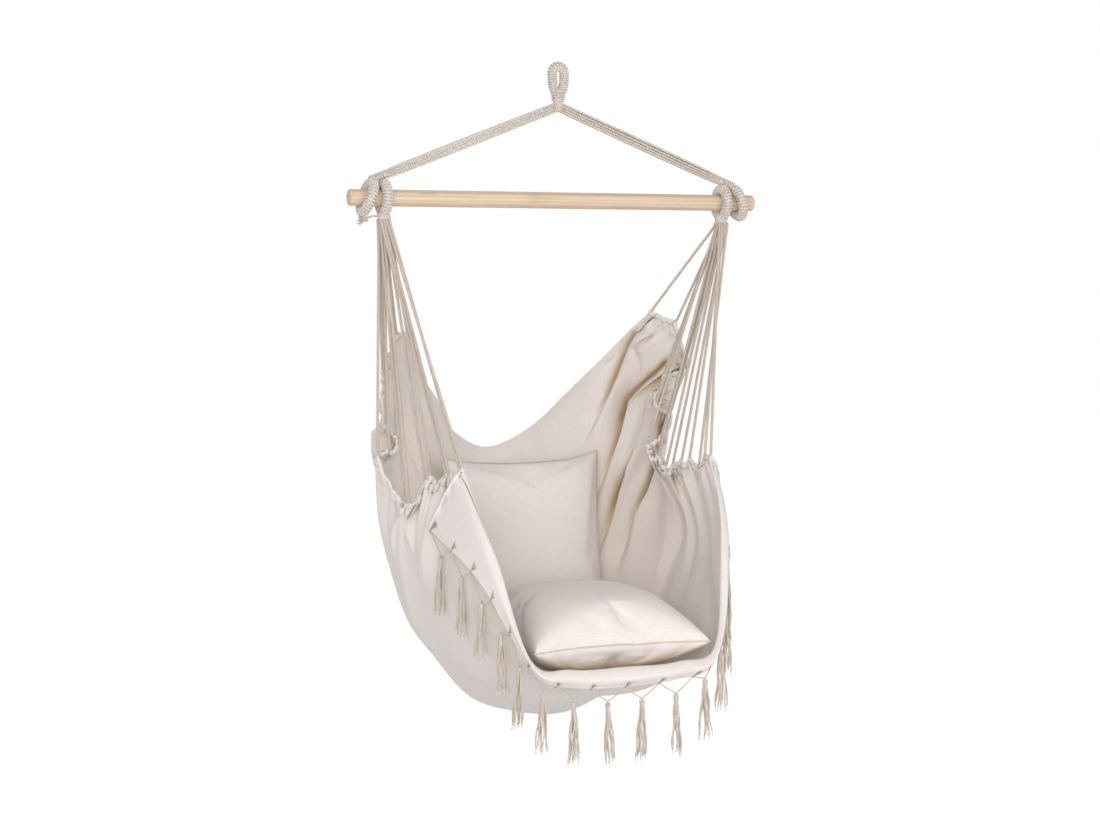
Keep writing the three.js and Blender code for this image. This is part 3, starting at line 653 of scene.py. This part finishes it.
left_hem = [
    (0.778, 0.326, 0.394), (0.881, 0.265, 0.404), (0.969, 0.261, 0.455), (0.952, 0.293, 0.499),
    (0.969, 0.217, 0.54), (0.917, 0.196, 0.558), (0.972, 0.163, 0.577), (1.062, 0.109, 0.585),
    (0.93, 0.043, 0.652), (0.926, -0.022, 0.653), (0.858, -0.087, 0.617), (0.838, -0.13, 0.61),
    (0.785, -0.217, 0.604), (0.775, -0.25, 0.604), (0.753, -0.337, 0.592), (0.753, -0.391, 0.592),
]
exit_count = 16
pleat_start = 0.4
column_parts = 10
row_parts = 12
border_rows = 12


def place(shares, sign):
    return np.array(shares) * (sign * half_width, reach, -drop)


def through(stations, places, at):
    """A smooth curve through places at uneven stations, read at each value of at."""
    stations, at = np.asarray(stations, float), np.asarray(at, float)
    shape = (-1,) + (1,) * (places.ndim - 1)
    gaps = np.diff(stations).reshape(shape)
    rises = np.diff(places, axis=0) / gaps
    slopes = np.empty_like(places)
    slopes[0], slopes[-1] = rises[0], rises[-1]
    slopes[1:-1] = (rises[:-1] * gaps[1:] + rises[1:] * gaps[:-1]) / (gaps[:-1] + gaps[1:])
    i = np.clip(np.searchsorted(stations, at, "right") - 1, 0, len(stations) - 2)
    span = gaps[i]
    u = ((at - stations[i]) / np.diff(stations)[i]).reshape(shape)
    return (places[i] * (2 * u**3 - 3 * u**2 + 1) + slopes[i] * span * (u**3 - 2 * u**2 + u)
            + places[i + 1] * (3 * u**2 - 2 * u**3) + slopes[i + 1] * span * (u**3 - u**2))


net = np.array([[place(p, -1) for p in row[:0:-1]] + [place(p, 1) for p in row]
                for row in net_shares])
net_columns = np.linspace(-1, 1, net.shape[1])


def smooth_cloth(across, along):
    lines = through(row_shares, net, along).transpose(1, 0, 2)
    return through(net_columns, lines, across).transpose(1, 0, 2)


# Rows from the back edge to the fold, by the hem's exits, then over the border to the fringe
hem_at = np.linspace(0, exit_count - 1, (exit_count - 1) * 2 * row_parts + 1)
hem_alongs = 1 - (1 - fold_share) * hem_at / (exit_count - 1)
border_alongs = np.linspace(fold_share, 0, border_rows + 1)[1:]
alongs = np.concatenate([hem_alongs, border_alongs])

# Columns stand where equal steps along the fringed edge fall
samples = np.linspace(-1, 1, 401)
edge_line = smooth_cloth(samples, [0.0])[0]
edge_run = run_along(edge_line)
tassel_columns = np.array([samples[np.argmax(edge_run >= edge_run[-1] * j / tassel_count - 1e-9)]
                           for j in range(tassel_count + 1)])
acrosses = np.interp(np.linspace(0, tassel_count, tassel_count * column_parts + 1),
                     np.arange(tassel_count + 1), tassel_columns)


def hem_line(shares, sign):
    """The side hem's line: up to each cord's exit, sagging between them."""
    exits = np.array([place(p, sign) for p in shares])
    line = through(np.arange(exit_count), exits, hem_at)
    line = 0.5 * line + 0.5 * read_at(hem_at, np.arange(exit_count), exits)
    part = hem_at % 1
    index = np.floor(hem_at).astype(int)
    depth = np.where(index % 2 == 0, hem_gather, hem_sag)
    line[:, 2] -= depth * (1 - abs(2 * part - 1) ** 1.6)
    edge = smooth_cloth([sign], alongs)[:, 0]
    pull = line[-1] - edge[len(hem_at) - 1]
    border = edge[len(hem_at):] + pull * (border_alongs / fold_share)[:, None]
    return np.concatenate([line, border])


hem_lines = {1: hem_line(right_hem, 1), -1: hem_line(left_hem, -1)}
grid = smooth_cloth(acrosses, alongs)
strength = np.clip((abs(acrosses) - pleat_start) / (1 - pleat_start), 0, 1) ** 2
for sign in (1, -1):
    pull = hem_lines[sign] - smooth_cloth([sign], alongs)[:, 0]
    half = (np.sign(acrosses) == sign) * strength
    grid = grid + half[None, :, None] * pull[:, None]
plain_grid = grid.copy()
cloth_middle = np.array([0, 0, -0.85])


def normals_of(points):
    """The directions square to the cloth, outwards."""
    down, over = np.gradient(points, axis=0), np.gradient(points, axis=1)
    n = np.cross(down, over)
    n /= np.linalg.norm(n, axis=2)[..., None] + 1e-12
    outward = (n * (points - cloth_middle)).sum(axis=2).mean()
    return n * np.sign(outward)


# How far round and how far down the cloth each place is, in metres
round_steps = np.linalg.norm(np.diff(plain_grid, axis=1), axis=2).mean(axis=0)
down_steps = np.linalg.norm(np.diff(plain_grid, axis=0), axis=2).mean(axis=1)
cloth_u = np.concatenate([[0], np.cumsum(round_steps)])
cloth_v = np.concatenate([[0], np.cumsum(down_steps)])

# Folds and creases, as moves along the normal. For each place of the cloth, S and T are its
# shares across and along, H counts the exits down its hem, and U and V are metres.
S, T = np.meshgrid(acrosses, alongs)
H = np.interp(alongs, hem_alongs[::-1], hem_at[::-1])[:, None] + 0 * S
U, V = np.meshgrid(cloth_u, cloth_v)
side = np.clip((abs(S) - 0.2) / 0.8, 0, 1)
phase = np.where(S > 0, 0.7, 2.3)
inside = np.clip((T - fold_share) / 0.1, 0, 1)
wander = 0.35 * np.sin(3.1 * U + 1.7 * np.sin(4.3 * V)) + 0.25 * np.sin(7.7 * U + 2)
folds = 0.0050 * side**1.3 * np.cos(TURN * 0.40 * H + phase + 2 * wander) * inside
calm = np.where((S > 0) & (H < 8.5), 9.0, 3.5)
folds += 0.0036 * side**calm * np.cos(TURN * H + 1.2 * wander)
folds += 0.0052 * side**14 * np.cos(TURN * (2.45 * H + 0.2 * np.sin(5 * H)) + phase)
folds += 0.0030 * side**24 * np.cos(TURN * (4.1 * H + 0.3 * np.sin(3 * H)) + phase)
over_border = np.clip((fold_share - T) / 0.02, 0, 1)
scrunch = np.cos(TURN * 38 * (T + 0.02 * np.sin(9 * V)) + 2.0 * np.sin(26 * U))
folds += 0.0042 * over_border * side**16 * scrunch
# Broad creases that fan out from the two back corners
for sign in (1, -1):
    far = np.hypot((1 - sign * S) * 0.62, (1 - T) * 1.25)
    angle = np.arctan2((1 - T) * 1.25, (1 - sign * S) * 0.62 + 1e-6)
    waves = np.cos(9.5 * angle + 1.1 * sign + 0.5 * np.sin(9 * far))
    folds += 0.0030 * np.exp(-((far - 0.26) / 0.20) ** 2) * waves
# Folds that the side hems draw across the inside: places from the hem inwards, the depth at
# the bottom, how wide the far and the near side are, and the height of the roll beside it
creases = [
    (((0.93, 0.985), (0.818, 0.968), (0.655, 0.934), (0.475, 0.91)), 0.028, 0.060, 0.016, 0.012),
    (((0.94, 0.955), (0.835, 0.950), (0.780, 0.915)), 0.016, 0.014, 0.010, 0.004),
    (((0.97, 0.905), (0.865, 0.896), (0.695, 0.892), (0.608, 0.858), (0.450, 0.820)),
     0.036, 0.055, 0.014, 0.016),
    (((0.99, 0.800), (0.713, 0.774), (0.573, 0.778), (0.410, 0.745)), 0.052, 0.055, 0.010, 0.020),
    (((0.98, 0.715), (0.708, 0.702), (0.608, 0.720), (0.460, 0.690)), 0.026, 0.035, 0.022, 0.012),
    (((0.99, 0.485), (0.873, 0.466), (0.660, 0.550), (0.5, 0.56)), 0.010, 0.040, 0.050, 0.005),
    (((0.99, 0.355), (0.80, 0.370), (0.62, 0.40)), 0.009, 0.045, 0.035, 0.004),
    (((0.99, 0.215), (0.88, 0.220), (0.677, 0.278)), 0.009, 0.045, 0.028, 0.004),
    (((-0.99, 0.50), (-0.86, 0.52), (-0.70, 0.50)), 0.011, 0.030, 0.030, 0.005),
    (((-0.99, 0.43), (-0.85, 0.42), (-0.72, 0.36)), 0.013, 0.030, 0.022, 0.005),
    (((-0.99, 0.79), (-0.75, 0.77), (-0.50, 0.73)), 0.028, 0.050, 0.016, 0.010),
    (((-0.98, 0.905), (-0.75, 0.89), (-0.52, 0.85)), 0.022, 0.055, 0.018, 0.010),
    (((-0.99, 0.30), (-0.82, 0.30), (-0.66, 0.33)), 0.009, 0.040, 0.040, 0.004),
]


def crease(path, depth, far_side, near_side, roll):
    """How far one fold moves each place of the cloth, out of the seat where it is positive."""
    u = np.interp([p[0] for p in path], acrosses, cloth_u)
    v = np.interp([p[1] for p in path], alongs[::-1], cloth_v[::-1])
    run = np.concatenate([[0], np.cumsum(np.hypot(np.diff(u), np.diff(v)))])
    nearest = np.full(U.shape, np.inf)
    place, apart = np.zeros(U.shape), np.zeros(U.shape)
    for k in range(len(path) - 1):
        du, dv = u[k + 1] - u[k], v[k + 1] - v[k]
        share = np.clip(((U - u[k]) * du + (V - v[k]) * dv) / (du * du + dv * dv), 0, 1)
        off_u, off_v = U - u[k] - share * du, V - v[k] - share * dv
        distance = np.hypot(off_u, off_v)
        closer = distance < nearest
        nearest = np.where(closer, distance, nearest)
        place = np.where(closer, (run[k] + share * math.hypot(du, dv)) / run[-1], place)
        apart = np.where(closer, distance * np.sign(off_v), apart)
    side_width = np.where(apart > 0, near_side, far_side)
    valley = np.clip(1 - nearest / side_width, 0, 1) ** 1.35
    ridge = np.exp(-((apart - 1.2 * near_side) / (0.8 * near_side + 0.006)) ** 2)
    fade = np.clip(place / 0.10, 0.35, 1) * np.clip((1 - place) / 0.45, 0, 1) ** 0.8
    lapped = np.exp(-((apart - near_side) / (0.9 * near_side + 0.016)) ** 2)
    return fade * (depth * valley - roll * ridge), fade * lapped * 1.3 * roll


laps = np.zeros(U.shape)
for path, depth, far_side, near_side, roll in creases:
    moved, lapped = crease(path, depth, far_side, near_side, roll)
    folds += moved
    laps += lapped * (roll > 0.011)
# Slack over the whole cloth
for k in range(14):
    turn, size = rng.random() * TURN, 0.10 + 0.25 * rng.random()
    wave = np.cos(TURN / size * (U * math.cos(turn) + V * math.sin(turn)) + rng.random() * TURN)
    folds += 0.0011 * size / 0.2 * wave * (0.35 + 0.65 * inside)
downwards = unit(np.gradient(grid, axis=0))
grid = grid + normals_of(grid) * folds[..., None] - downwards * laps[..., None]
cloth_normals = normals_of(grid)

# ---- Seat cords

# For each side, which way is out from the hem, and the line of the cords inside it
hem_frames = {}
for sign, column, inner in ((1, -1, -2), (-1, 0, 1)):
    outs = unit(plain_grid[:, column] - plain_grid[:, inner])
    hem_frames[sign] = (outs, plain_grid[:, column] + outs * cord_lift)


def neck_places(exits, sign):
    """Where each cord leaves the neck, in rows sorted so that no two cross."""
    ring = np.array([sign * seat_place, 0, seat_neck_bottom])
    slopes = [(e[:2] - ring[:2]) / (ring[2] - e[2]) for e in exits]
    order = sorted(range(len(exits)), key=lambda i: slopes[i][1])
    places = [None] * len(exits)
    for r in range(4):
        row = sorted(order[4 * r:4 * r + 4], key=lambda i: slopes[i][0])
        for c, i in enumerate(row):
            places[i] = ring + np.array([(c - 1.5) * cord_space_x, (r - 1.5) * cord_space_y, 0])
    return places


cord_pitch = 0.0150
corner_steps = 9
# Inside the hem a cord is squeezed by this share of its size, over this length
squeeze = 0.25
squeeze_run = 0.012

for side_name, sign in SIDES:
    tunnel = hem_frames[sign][1]
    at_exit = [tunnel[2 * row_parts * i] for i in range(exit_count)]
    tops = neck_places(at_exit, sign)
    for k in range(0, exit_count, 2):
        first, second = 2 * row_parts * k, 2 * row_parts * (k + 1)
        start, finish = tops[k], tops[k + 1]
        enters = at_exit[k] + 0.003 * unit(start - at_exit[k])
        leaves = at_exit[k + 1] + 0.003 * unit(finish - at_exit[k + 1])
        points = [start, start - cord_stub * Z, enters, *tunnel[first + 5:second - 4:3],
                  leaves, finish - cord_stub * Z, finish]
        route = drawn_route(points, route_step, corner_steps)
        made = Build()
        to_exits = [np.linalg.norm(route - at_exit[i], axis=1) for i in (k, k + 1)]
        index = np.arange(len(route))
        inside_hem = (index > to_exits[0].argmin()) & (index < to_exits[1].argmin())
        squeezed = 1 - squeeze * np.clip(np.minimum(*to_exits) / squeeze_run, 0, 1)
        sizes = np.where(inside_hem, squeezed, 1.0)
        rope(made, route, drawn_radius, cord_pitch, spin=rng.random() * TURN, taper=sizes)
        name = "cord_%s_%d" % (side_name, k // 2 + 1)
        piece = made.piece(name, cord_look, "cord", "seat", "seat_" + name)
        length = float(run_along(route)[-1])

# The loose knotted end beside the left seat ring
tail_start = np.array([-seat_place - seat_neck_radius - seat_gap, 0, -0.32237])
tail_points = [tail_start + np.array([-x, 0, -z]) for x, z in
               ((0, 0), (0.010, 0.0002), (0.021, 0.0062), (0.033, 0.0135))]
tail_route = smooth_route([tail_start + 0.004 * X] + tail_points[1:], 0.0011)
tail = Build()
rope(tail, tail_route, radius=0.0024, pitch=0.012)
tail_piece = tail.piece("tail_cord", cord_look, "cord", "seat", "cord_tail")
tuft = Build()
tuft_centre = tail_points[2]
turn_line = even_route([tuft_centre + 0.0035 * X, tuft_centre - 0.0035 * X], 0.001)
wound(tuft, turn_line, Z, Y, 0.0041, turns=1.9, radius=0.0022)
for k in range(7):
    spread = (k - 3) / 3
    tip = tuft_centre + np.array([-0.0170 - 0.003 * rng.random(), 0.0060 * math.sin(2.4 * k),
                                  0.0085 * spread - 0.004])
    mid = tuft_centre * 0.45 + tip * 0.55 + np.array([0, 0, 0.0016 * spread])
    route = smooth_route([tuft_centre - 0.003 * X, mid, tip], 0.0009)
    taper = np.linspace(1, 0.45, len(route))
    rope(tuft, route, 0.0026, pitch=0.007, outline=two_strands, spin=k, taper=taper)
tuft_piece = tuft.piece("tail_tuft", cord_look, "cord", "seat")

# ---- Seat cloth

cloth_thickness = 0.0016
band_gap = 0.0021
rows, columns = grid.shape[:2]
cloth = Build()


def patch(build, points, u, v):
    """Adds an open sheet from a grid of points."""
    cells = cells_of(np.arange(u.size).reshape(u.shape))
    build.add(points, cells.tolist(), np.stack([u, v], axis=-1).reshape(-1, 2)[cells])


def hem(lines, widths, sign, start, places, rolled=False):
    """Adds a hem, given as lines from the cloth's edge round to its own end. The widths say how
    far out each line would lie if the cloth were flat."""
    strip = np.stack(lines)
    out = start + sign * np.array(widths)[:, None] + 0 * places
    along = places + 0 * out
    if sign < 0:
        strip, out, along = strip[::-1], out[::-1], along[::-1]
    if rolled:
        patch(cloth, strip, along, out)
    else:
        patch(cloth, strip.transpose(1, 0, 2), out.T, along.T)


patch(cloth, grid, U, V)

# The side hems are tunnels round the cords, stitched down on the outside
tunnel_radius = 0.0046
tunnel_band = 0.017
for sign in (1, -1):
    column = columns - 1 if sign > 0 else 0
    edge = grid[:, column]
    normals = cloth_normals[:, column]
    outs, tunnel = hem_frames[sign]
    shift = edge - plain_grid[:, column]
    pucker = 1 + 0.20 * np.sin(TURN * (5.3 * H[:, 0] + 0.3 * np.sin(4 * H[:, 0])))
    pucker += 0.22 * np.sin(TURN * (2.7 * H[:, 0] + 0.4 * np.sin(3 * H[:, 0])) + sign)
    pucker *= 1 - 0.65 * over_border[:, 0]
    lines, widths = [edge], [0.0]
    for angle in np.linspace(2.55, -2.2, 11):
        around = 1.25 * math.cos(angle) * outs - 0.80 * math.sin(angle) * normals
        lines.append(tunnel + 0.35 * shift + tunnel_radius * pucker[:, None] * around)
        widths.append(widths[-1] + 0.0023)
    for back in (0.001, 0.006, 0.0115, tunnel_band):
        lines.append(edge - outs * back + normals * (band_gap + 0.0006 * math.sin(400 * back)))
        widths.append(widths[-1] + 0.005)
    hem(lines, widths, sign, cloth_u[column], cloth_v)

# A pleat of the right side hangs in a lobe behind the second and third cords
lobe = slice(4 * row_parts, 10 * row_parts + 1)
inner_line = grid[lobe, -1]
share = np.linspace(0, 1, len(inner_line))[:, None]
outer_line = inner_line[0] + (inner_line[-1] - inner_line[0]) * share
outer_line = outer_line + np.sin(math.pi * share) * np.array([0.006, 0.012, -0.006])
steps = np.linspace(0, 1, 9)
outwards = steps[None, :, None]
strip = inner_line[:, None] + (outer_line - inner_line)[:, None] * outwards
strip = strip + 0.010 * Y * np.sin(math.pi * share * 0.98)[:, None] * outwards ** 0.5
spans = np.linalg.norm(outer_line - inner_line, axis=1)
patch(cloth, strip, cloth_u[-1] + spans[:, None] * steps, cloth_v[lobe, None] + 0 * steps)

# The back and front edges are narrow rolled hems
for sign, row, inner, width in ((-1, 0, 1, 0.016), (1, rows - 1, rows - 2, 0.010)):
    edge = grid[row]
    outs = unit(edge - grid[inner])
    normals = cloth_normals[row]
    lines, widths = [edge], [0.0]
    radius = band_gap / 2
    for angle in np.linspace(math.pi / 2, -math.pi / 2, 7)[1:]:
        around = math.cos(angle) * outs - math.sin(angle) * normals
        lines.append(edge + normals * radius + radius * 1.3 * around)
        widths.append(widths[-1] + 0.0008)
    for back in np.linspace(0, width, 5)[1:]:
        lines.append(edge - outs * back + normals * band_gap)
        widths.append(widths[-1] + width / 4)
    hem(lines, widths, sign, cloth_v[row], cloth_u, rolled=True)

cloth_piece = cloth.piece("cloth_sheet", cloth_look, "cloth", "seat", "seat_cloth")
weld = cloth_piece.modifiers.new("weld", "WELD")
weld.merge_threshold = 0.00005
solid = cloth_piece.modifiers.new("thickness", "SOLIDIFY")
solid.thickness = cloth_thickness
solid.offset = 0

# The cloth as the cushions feel it, and a place inside the seat, well above them
seat_inside = Vector((0, 0, -0.75))
cloth_cells = cells_of(np.arange(rows * columns).reshape(rows, columns))
cloth_tree = BVHTree.FromPolygons(grid.reshape(-1, 3).tolist(), cloth_cells.tolist())

# ---- Cushions


def cushion_mesh(name, width, depth, crown, belly, power, cells=56):
    """Two crowned panels that meet in a seam, their sides drawn in between the corners."""
    drawn_in = 0.055
    line = np.linspace(-1, 1, cells + 1)
    line = 0.55 * line + 0.45 * np.sin(math.pi / 2 * line)
    v, u = np.meshgrid(line, line, indexing="ij")
    x = width / 2 * u * (1 - drawn_in * (1 - v * v))
    y = depth / 2 * v * (1 - drawn_in * (1 - u * u))
    rise = np.sqrt(np.clip((1 - abs(u)**power) * (1 - abs(v)**power), 0, None))
    top = np.stack([x, y, crown * rise], axis=-1).reshape(-1, 3)
    under = np.stack([x, y, -belly * rise], axis=-1).reshape(-1, 3)
    ids = np.arange(u.size).reshape(u.shape)
    border = (abs(u) == 1) | (abs(v) == 1)
    low = np.where(border, ids, ids + u.size)
    faces = np.concatenate([cells_of(ids), cells_of(low)[:, [0, 3, 2, 1]]])
    used = np.unique(faces)
    renumber = np.full(2 * u.size, -1)
    renumber[used] = np.arange(len(used))
    faces = renumber[faces]
    points = np.concatenate([top, under])[used]
    mesh = bpy.data.meshes.new(name)
    mesh.from_pydata(points.tolist(), [], faces.tolist())
    mesh.uv_layers.new(name="UVMap").data.foreach_set("uv", points[faces][..., :2].ravel())
    mesh.shade_smooth()
    made = add_object(name, mesh)
    ring = np.concatenate([ids[0, :-1], ids[:-1, -1], ids[-1, :0:-1], ids[:0:-1, 0]])
    return made, [int(renumber[i]) for i in ring]


def coordinates(mesh):
    values = np.empty(3 * len(mesh.vertices))
    mesh.vertices.foreach_get("co", values)
    return values.reshape(-1, 3)


def set_coordinates(obj, points):
    obj.data.vertices.foreach_set("co", np.asarray(points, float).ravel())
    obj.data.update()


def inflate(obj, pressure, slack, cap, size, frames=22):
    """Cloth under pressure, with a little more cloth than the form needs, then the result
    kept in the mesh. cap is how far a point may move."""
    start = coordinates(obj.data)
    cloth_mod = obj.modifiers.new("inflate", "CLOTH")
    settings = {"quality": 7, "mass": 0.15, "tension_stiffness": 20, "compression_stiffness": 12,
                "shear_stiffness": 6, "bending_stiffness": 0.35, "use_pressure": True,
                "uniform_pressure_force": pressure, "shrink_min": -slack, "shrink_max": -slack}
    for key, value in settings.items():
        setattr(cloth_mod.settings, key, value)
    cloth_mod.settings.effector_weights.gravity = 0
    cloth_mod.collision_settings.use_self_collision = False
    cloth_mod.collision_settings.use_collision = False
    cloth_mod.point_cache.frame_start = 1
    cloth_mod.point_cache.frame_end = frames
    for number in range(1, frames + 1):
        scene.frame_set(number)
    graph = bpy.context.evaluated_depsgraph_get()
    moved = coordinates(obj.evaluated_get(graph).data) - start
    far = np.linalg.norm(moved, axis=1)[:, None] + 1e-9
    moved *= np.minimum(1, cap / far)
    obj.modifiers.remove(cloth_mod)
    scene.frame_set(1)
    # Pressure draws the seams in, so the form is brought back to its measured size
    grown = start + moved
    low, high = grown.min(axis=0), grown.max(axis=0)
    scale = (size[0] / (high[0] - low[0]), size[1] / (high[1] - low[1]),
             size[2] / high[2] if high[2] > size[2] else 1.0)
    set_coordinates(obj, (grown - (*((low + high) / 2)[:2], 0)) * scale)


def keep_clear(points, gap=0.0022, search=0.06):
    """Moves points that have gone through the cloth back to its inner side."""
    result = points.copy()
    for k, p in enumerate(points):
        hit, normal = cloth_tree.find_nearest(Vector(p), search)[:2]
        if hit is None:
            continue
        if normal.dot(seat_inside - hit) < 0:
            normal = -normal
        if (Vector(p) - hit).dot(normal) < gap:
            result[k] = np.array(hit + normal * gap)
    return result


def seam_piping(name, obj, ring, body, radius=0.0014):
    """A narrow sewn edge that follows the cushion's seam, puckered by its stitches. Its darker
    cloth is painted shade along the seam.
    """
    points = coordinates(obj.data)[ring]
    line = smooth_route(np.concatenate([points, points[:1]]), 0.0022, 4)
    made = Build()
    run = np.arange(len(line))
    size = 1 + 0.12 * np.sin(run * 1.9) + 0.06 * np.sin(run * 0.73)
    tube(made, line, radius * size, around=8)
    made.piece(name, seam_shade_look, "cushion", body)


def cushion(name, node, body, size, power, centre, lean, cap, pressure, slack):
    width, depth, crown, belly = size
    obj, ring = cushion_mesh(name, width, depth, crown, belly, power)
    inflate(obj, pressure, slack, cap, size)
    placed = Matrix.Translation(centre) @ Matrix.Rotation(lean, 4, "X")
    obj.data.transform(placed)
    set_coordinates(obj, keep_clear(coordinates(obj.data)))
    obj.data.materials.append(cushion_look)
    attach(obj, body)
    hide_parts(node)
    sub = obj.modifiers.new("smooth", "SUBSURF")
    sub.levels = sub.render_levels = 1
    seam_piping(name + "_seam", obj, ring, body)
    return obj


# The piping goes round outside the covers
piping_room = 0.004
seat_size = (cushion_width - piping_room, cushion_depth - piping_room, cushion_crown + 0.002,
             cushion_belly)
back_size = (cushion_width - piping_room, back_height - piping_room, back_crown, back_crown)
seat_pillow = cushion("pillow_seat", "seat_cushion", "seat_pillow", seat_size, 2.8,
                      cushion_centre, 0.0, cap=0.022, pressure=4.2, slack=0.014)
back_pillow = cushion("pillow_back", "back_cushion", "back_pillow", back_size, 4,
                      back_centre, math.pi / 2 - back_lean, cap=0.016, pressure=3.8, slack=0.010)

# ---- Fringe

edge_row = grid[-1]
edge_out = unit(edge_row - grid[-3])
stitch_points = (edge_row + edge_out * header_lift)[::column_parts]
header_points = [stitch_points[0]]
knots = []
for k in range(tassel_count):
    low = (stitch_points[k] + stitch_points[k + 1]) / 2 - header_drop * Z
    knots.append(low)
    header_points += [low, stitch_points[k + 1]]
header_route = []
for a, b in zip(header_points[:-1], header_points[1:]):
    header_route += [a, a * 0.94 + b * 0.06, a * 0.5 + b * 0.5 - 0.0012 * Z, a * 0.06 + b * 0.94]
header_route.append(header_points[-1])
header = Build()
header_line = smooth_route(header_route, 0.0014, parts=6)
rope(header, header_line, header_radius, pitch=0.008, outline=two_strands)
header.piece("header_cord", fringe_look, "fringe", "seat", "fringe_header")

# Pairs of short stitches that hold the header to the rolled front edge
stitches = Build()
front_normals = cloth_normals[-1]
for k in range(tassel_count + 1):
    j = k * column_parts
    along_edge = unit(edge_row[min(j + 1, columns - 1)] - edge_row[max(j - 1, 0)])
    for apart, deep in ((-0.0058, 0.021), (0.0002, 0.019), (0.0060, 0.015)):
        here, out, normal = edge_row[j], edge_out[j], front_normals[j]
        foot = here + along_edge * apart - out * deep + along_edge * 0.3 * deep
        over = here + out * header_lift + along_edge * 0.5 * apart
        path = [foot + normal * (band_gap + 0.0010),
                (foot + over) / 2 + normal * (band_gap + 0.0022),
                over + out * 0.0016,
                here - normal * 0.0026 - out * 0.002,
                foot - normal * 0.0018]
        stitch = smooth_route(path, 0.0009)
        rope(stitches, stitch, radius=0.0008, pitch=0.005, outline=two_strands)
stitches.piece("header_stitches", stitch_shade_look, "fringe", "seat")

for k, low in enumerate(knots):
    made = Build()
    knot = low - (header_radius + 0.0063) * Z
    # The cord is looped over the header and wrapped round its own strands
    loop_points = [knot + np.array([0.0026 * math.cos(a), 0.0026 * math.sin(a) * 0.3,
                                    0.0030 + 0.0052 * math.sin(a)])
                   for a in np.linspace(-0.5, math.pi + 0.5, 9)]
    over_header = smooth_route(loop_points, 0.0010)
    rope(made, over_header, radius=0.0017, pitch=0.006, outline=two_strands)
    wrap_line = even_route([knot + 0.0040 * Z, knot - 0.0050 * Z], 0.001)
    wound(made, wrap_line, X, Y, 0.0040, turns=2.8, radius=0.0019, spin=rng.random() * TURN)
    sway = np.array([rng.uniform(-0.006, 0.006), rng.uniform(-0.005, 0.005), 0])
    for s in range(tassel_strands):
        angle = TURN * s / tassel_strands + rng.uniform(-0.3, 0.3)
        out = np.array([math.cos(angle), math.sin(angle), 0])
        length = tassel_length * rng.uniform(0.86, 1.0) - 0.012
        spread = rng.uniform(0.006, 0.0125)
        line = []
        wobble = rng.random() * TURN
        for share in np.linspace(0, 1, 9):
            wave = 0.0016 * math.sin(wobble + 9 * share) * min(1, 3 * share)
            cross = np.array([-out[1], out[0], 0])
            line.append(knot + out * (0.0022 + spread * share**0.8 + wave)
                        + cross * 0.0016 * math.cos(wobble + 8 * share) * min(1, 3 * share)
                        + sway * share - Z * (0.002 + length * share))
        route = smooth_route(line, 0.0021)
        taper = np.linspace(1, 0.86, len(route))
        rope(made, route, 0.0023, pitch=0.0095, outline=two_strands, spin=wobble, taper=taper)
        tip, down = route[-1], unit(route[-1] - route[-3])
        for f in range(4):
            fray = np.array([rng.uniform(-1, 1), rng.uniform(-1, 1), 0]) * 0.0024
            ends = [tip - down * 0.0012, tip + down * 0.005 + fray * 0.5,
                    tip + down * rng.uniform(0.008, 0.012) + fray]
            fibre = smooth_route(ends, 0.0016)
            tube(made, fibre, np.linspace(0.00065, 0.00022, len(fibre)), around=5)
    number = "%d" % (k + 1)
    made.piece("tassel_strands_" + number, fringe_look, "fringe", "seat", "tassel_" + number)

# ---- Bar

bar = frame["nodes"]["spreader_bar"]
bar.data.materials.clear()
bar.data.materials.append(wood_look)

# ---- Studio

floor_z = -2.05
floor_half = 14
white = (1, 1, 1, 1)

# The floor glows white to the camera but for a share that keeps the object's shadow
paint = Nodes("floor", (0.86, 0.86, 0.86), 0.9)
glow = paint.node("ShaderNodeEmission", {"Color": white, "Strength": 1.15})
paint.show(paint.math("MULTIPLY", paint.seen(), 0.8), paint.shader, glow, "Material Output")

corners = ((-1, -1), (1, -1), (1, 1), (-1, 1))
floor_mesh = bpy.data.meshes.new("floor")
floor_mesh.from_pydata([(floor_half * x, floor_half * y, floor_z) for x, y in corners],
                       [], [(0, 1, 2, 3)])
floor_mesh.materials.append(paint.material)
floor = add_object("floor", floor_mesh)

world = bpy.data.worlds.new("studio")
scene.world = world
world.use_nodes = True
# The light from overhead is weaker than the light from the sides, and the camera sees white
sky = Tree(world.node_tree)
direction = sky.node("ShaderNodeTexCoord").outputs["Generated"]
height = sky.node("ShaderNodeSeparateXYZ", {0: direction}).outputs["Z"]
level_light, overhead_light = (1.0, 0.99, 0.98), (0.52, 0.515, 0.51)
colour = sky.mix(sky.ramp(height, 0.1, 0.9), level_light, overhead_light)
soft = sky.tree.nodes["Background"]
sky.feed(soft, {"Color": colour, "Strength": 0.75})
blank = sky.node("ShaderNodeBackground", {"Color": white, "Strength": 1.0})
sky.show(sky.seen(), soft, blank, "World Output")


def lamp(name, place_at, size, power):
    """A round soft lamp that faces the middle of the chair."""
    data = bpy.data.lights.new(name, "AREA")
    data.shape = "DISK"
    data.size = size
    data.energy = power
    made = add_object(name, data)
    made.location = place_at
    made.rotation_euler = (middle - Vector(place_at)).to_track_quat("-Z", "Y").to_euler()


middle = Vector((0, 0, -0.9))
lamp("key", (-1.9, -4.1, 0.1), size=2.6, power=98)
lamp("fill", (1.4, -4.4, 0.1), size=2.4, power=38)
lamp("back", (0.9, 4.6, -0.3), size=2.4, power=34)

scene.view_settings.view_transform = "Standard"
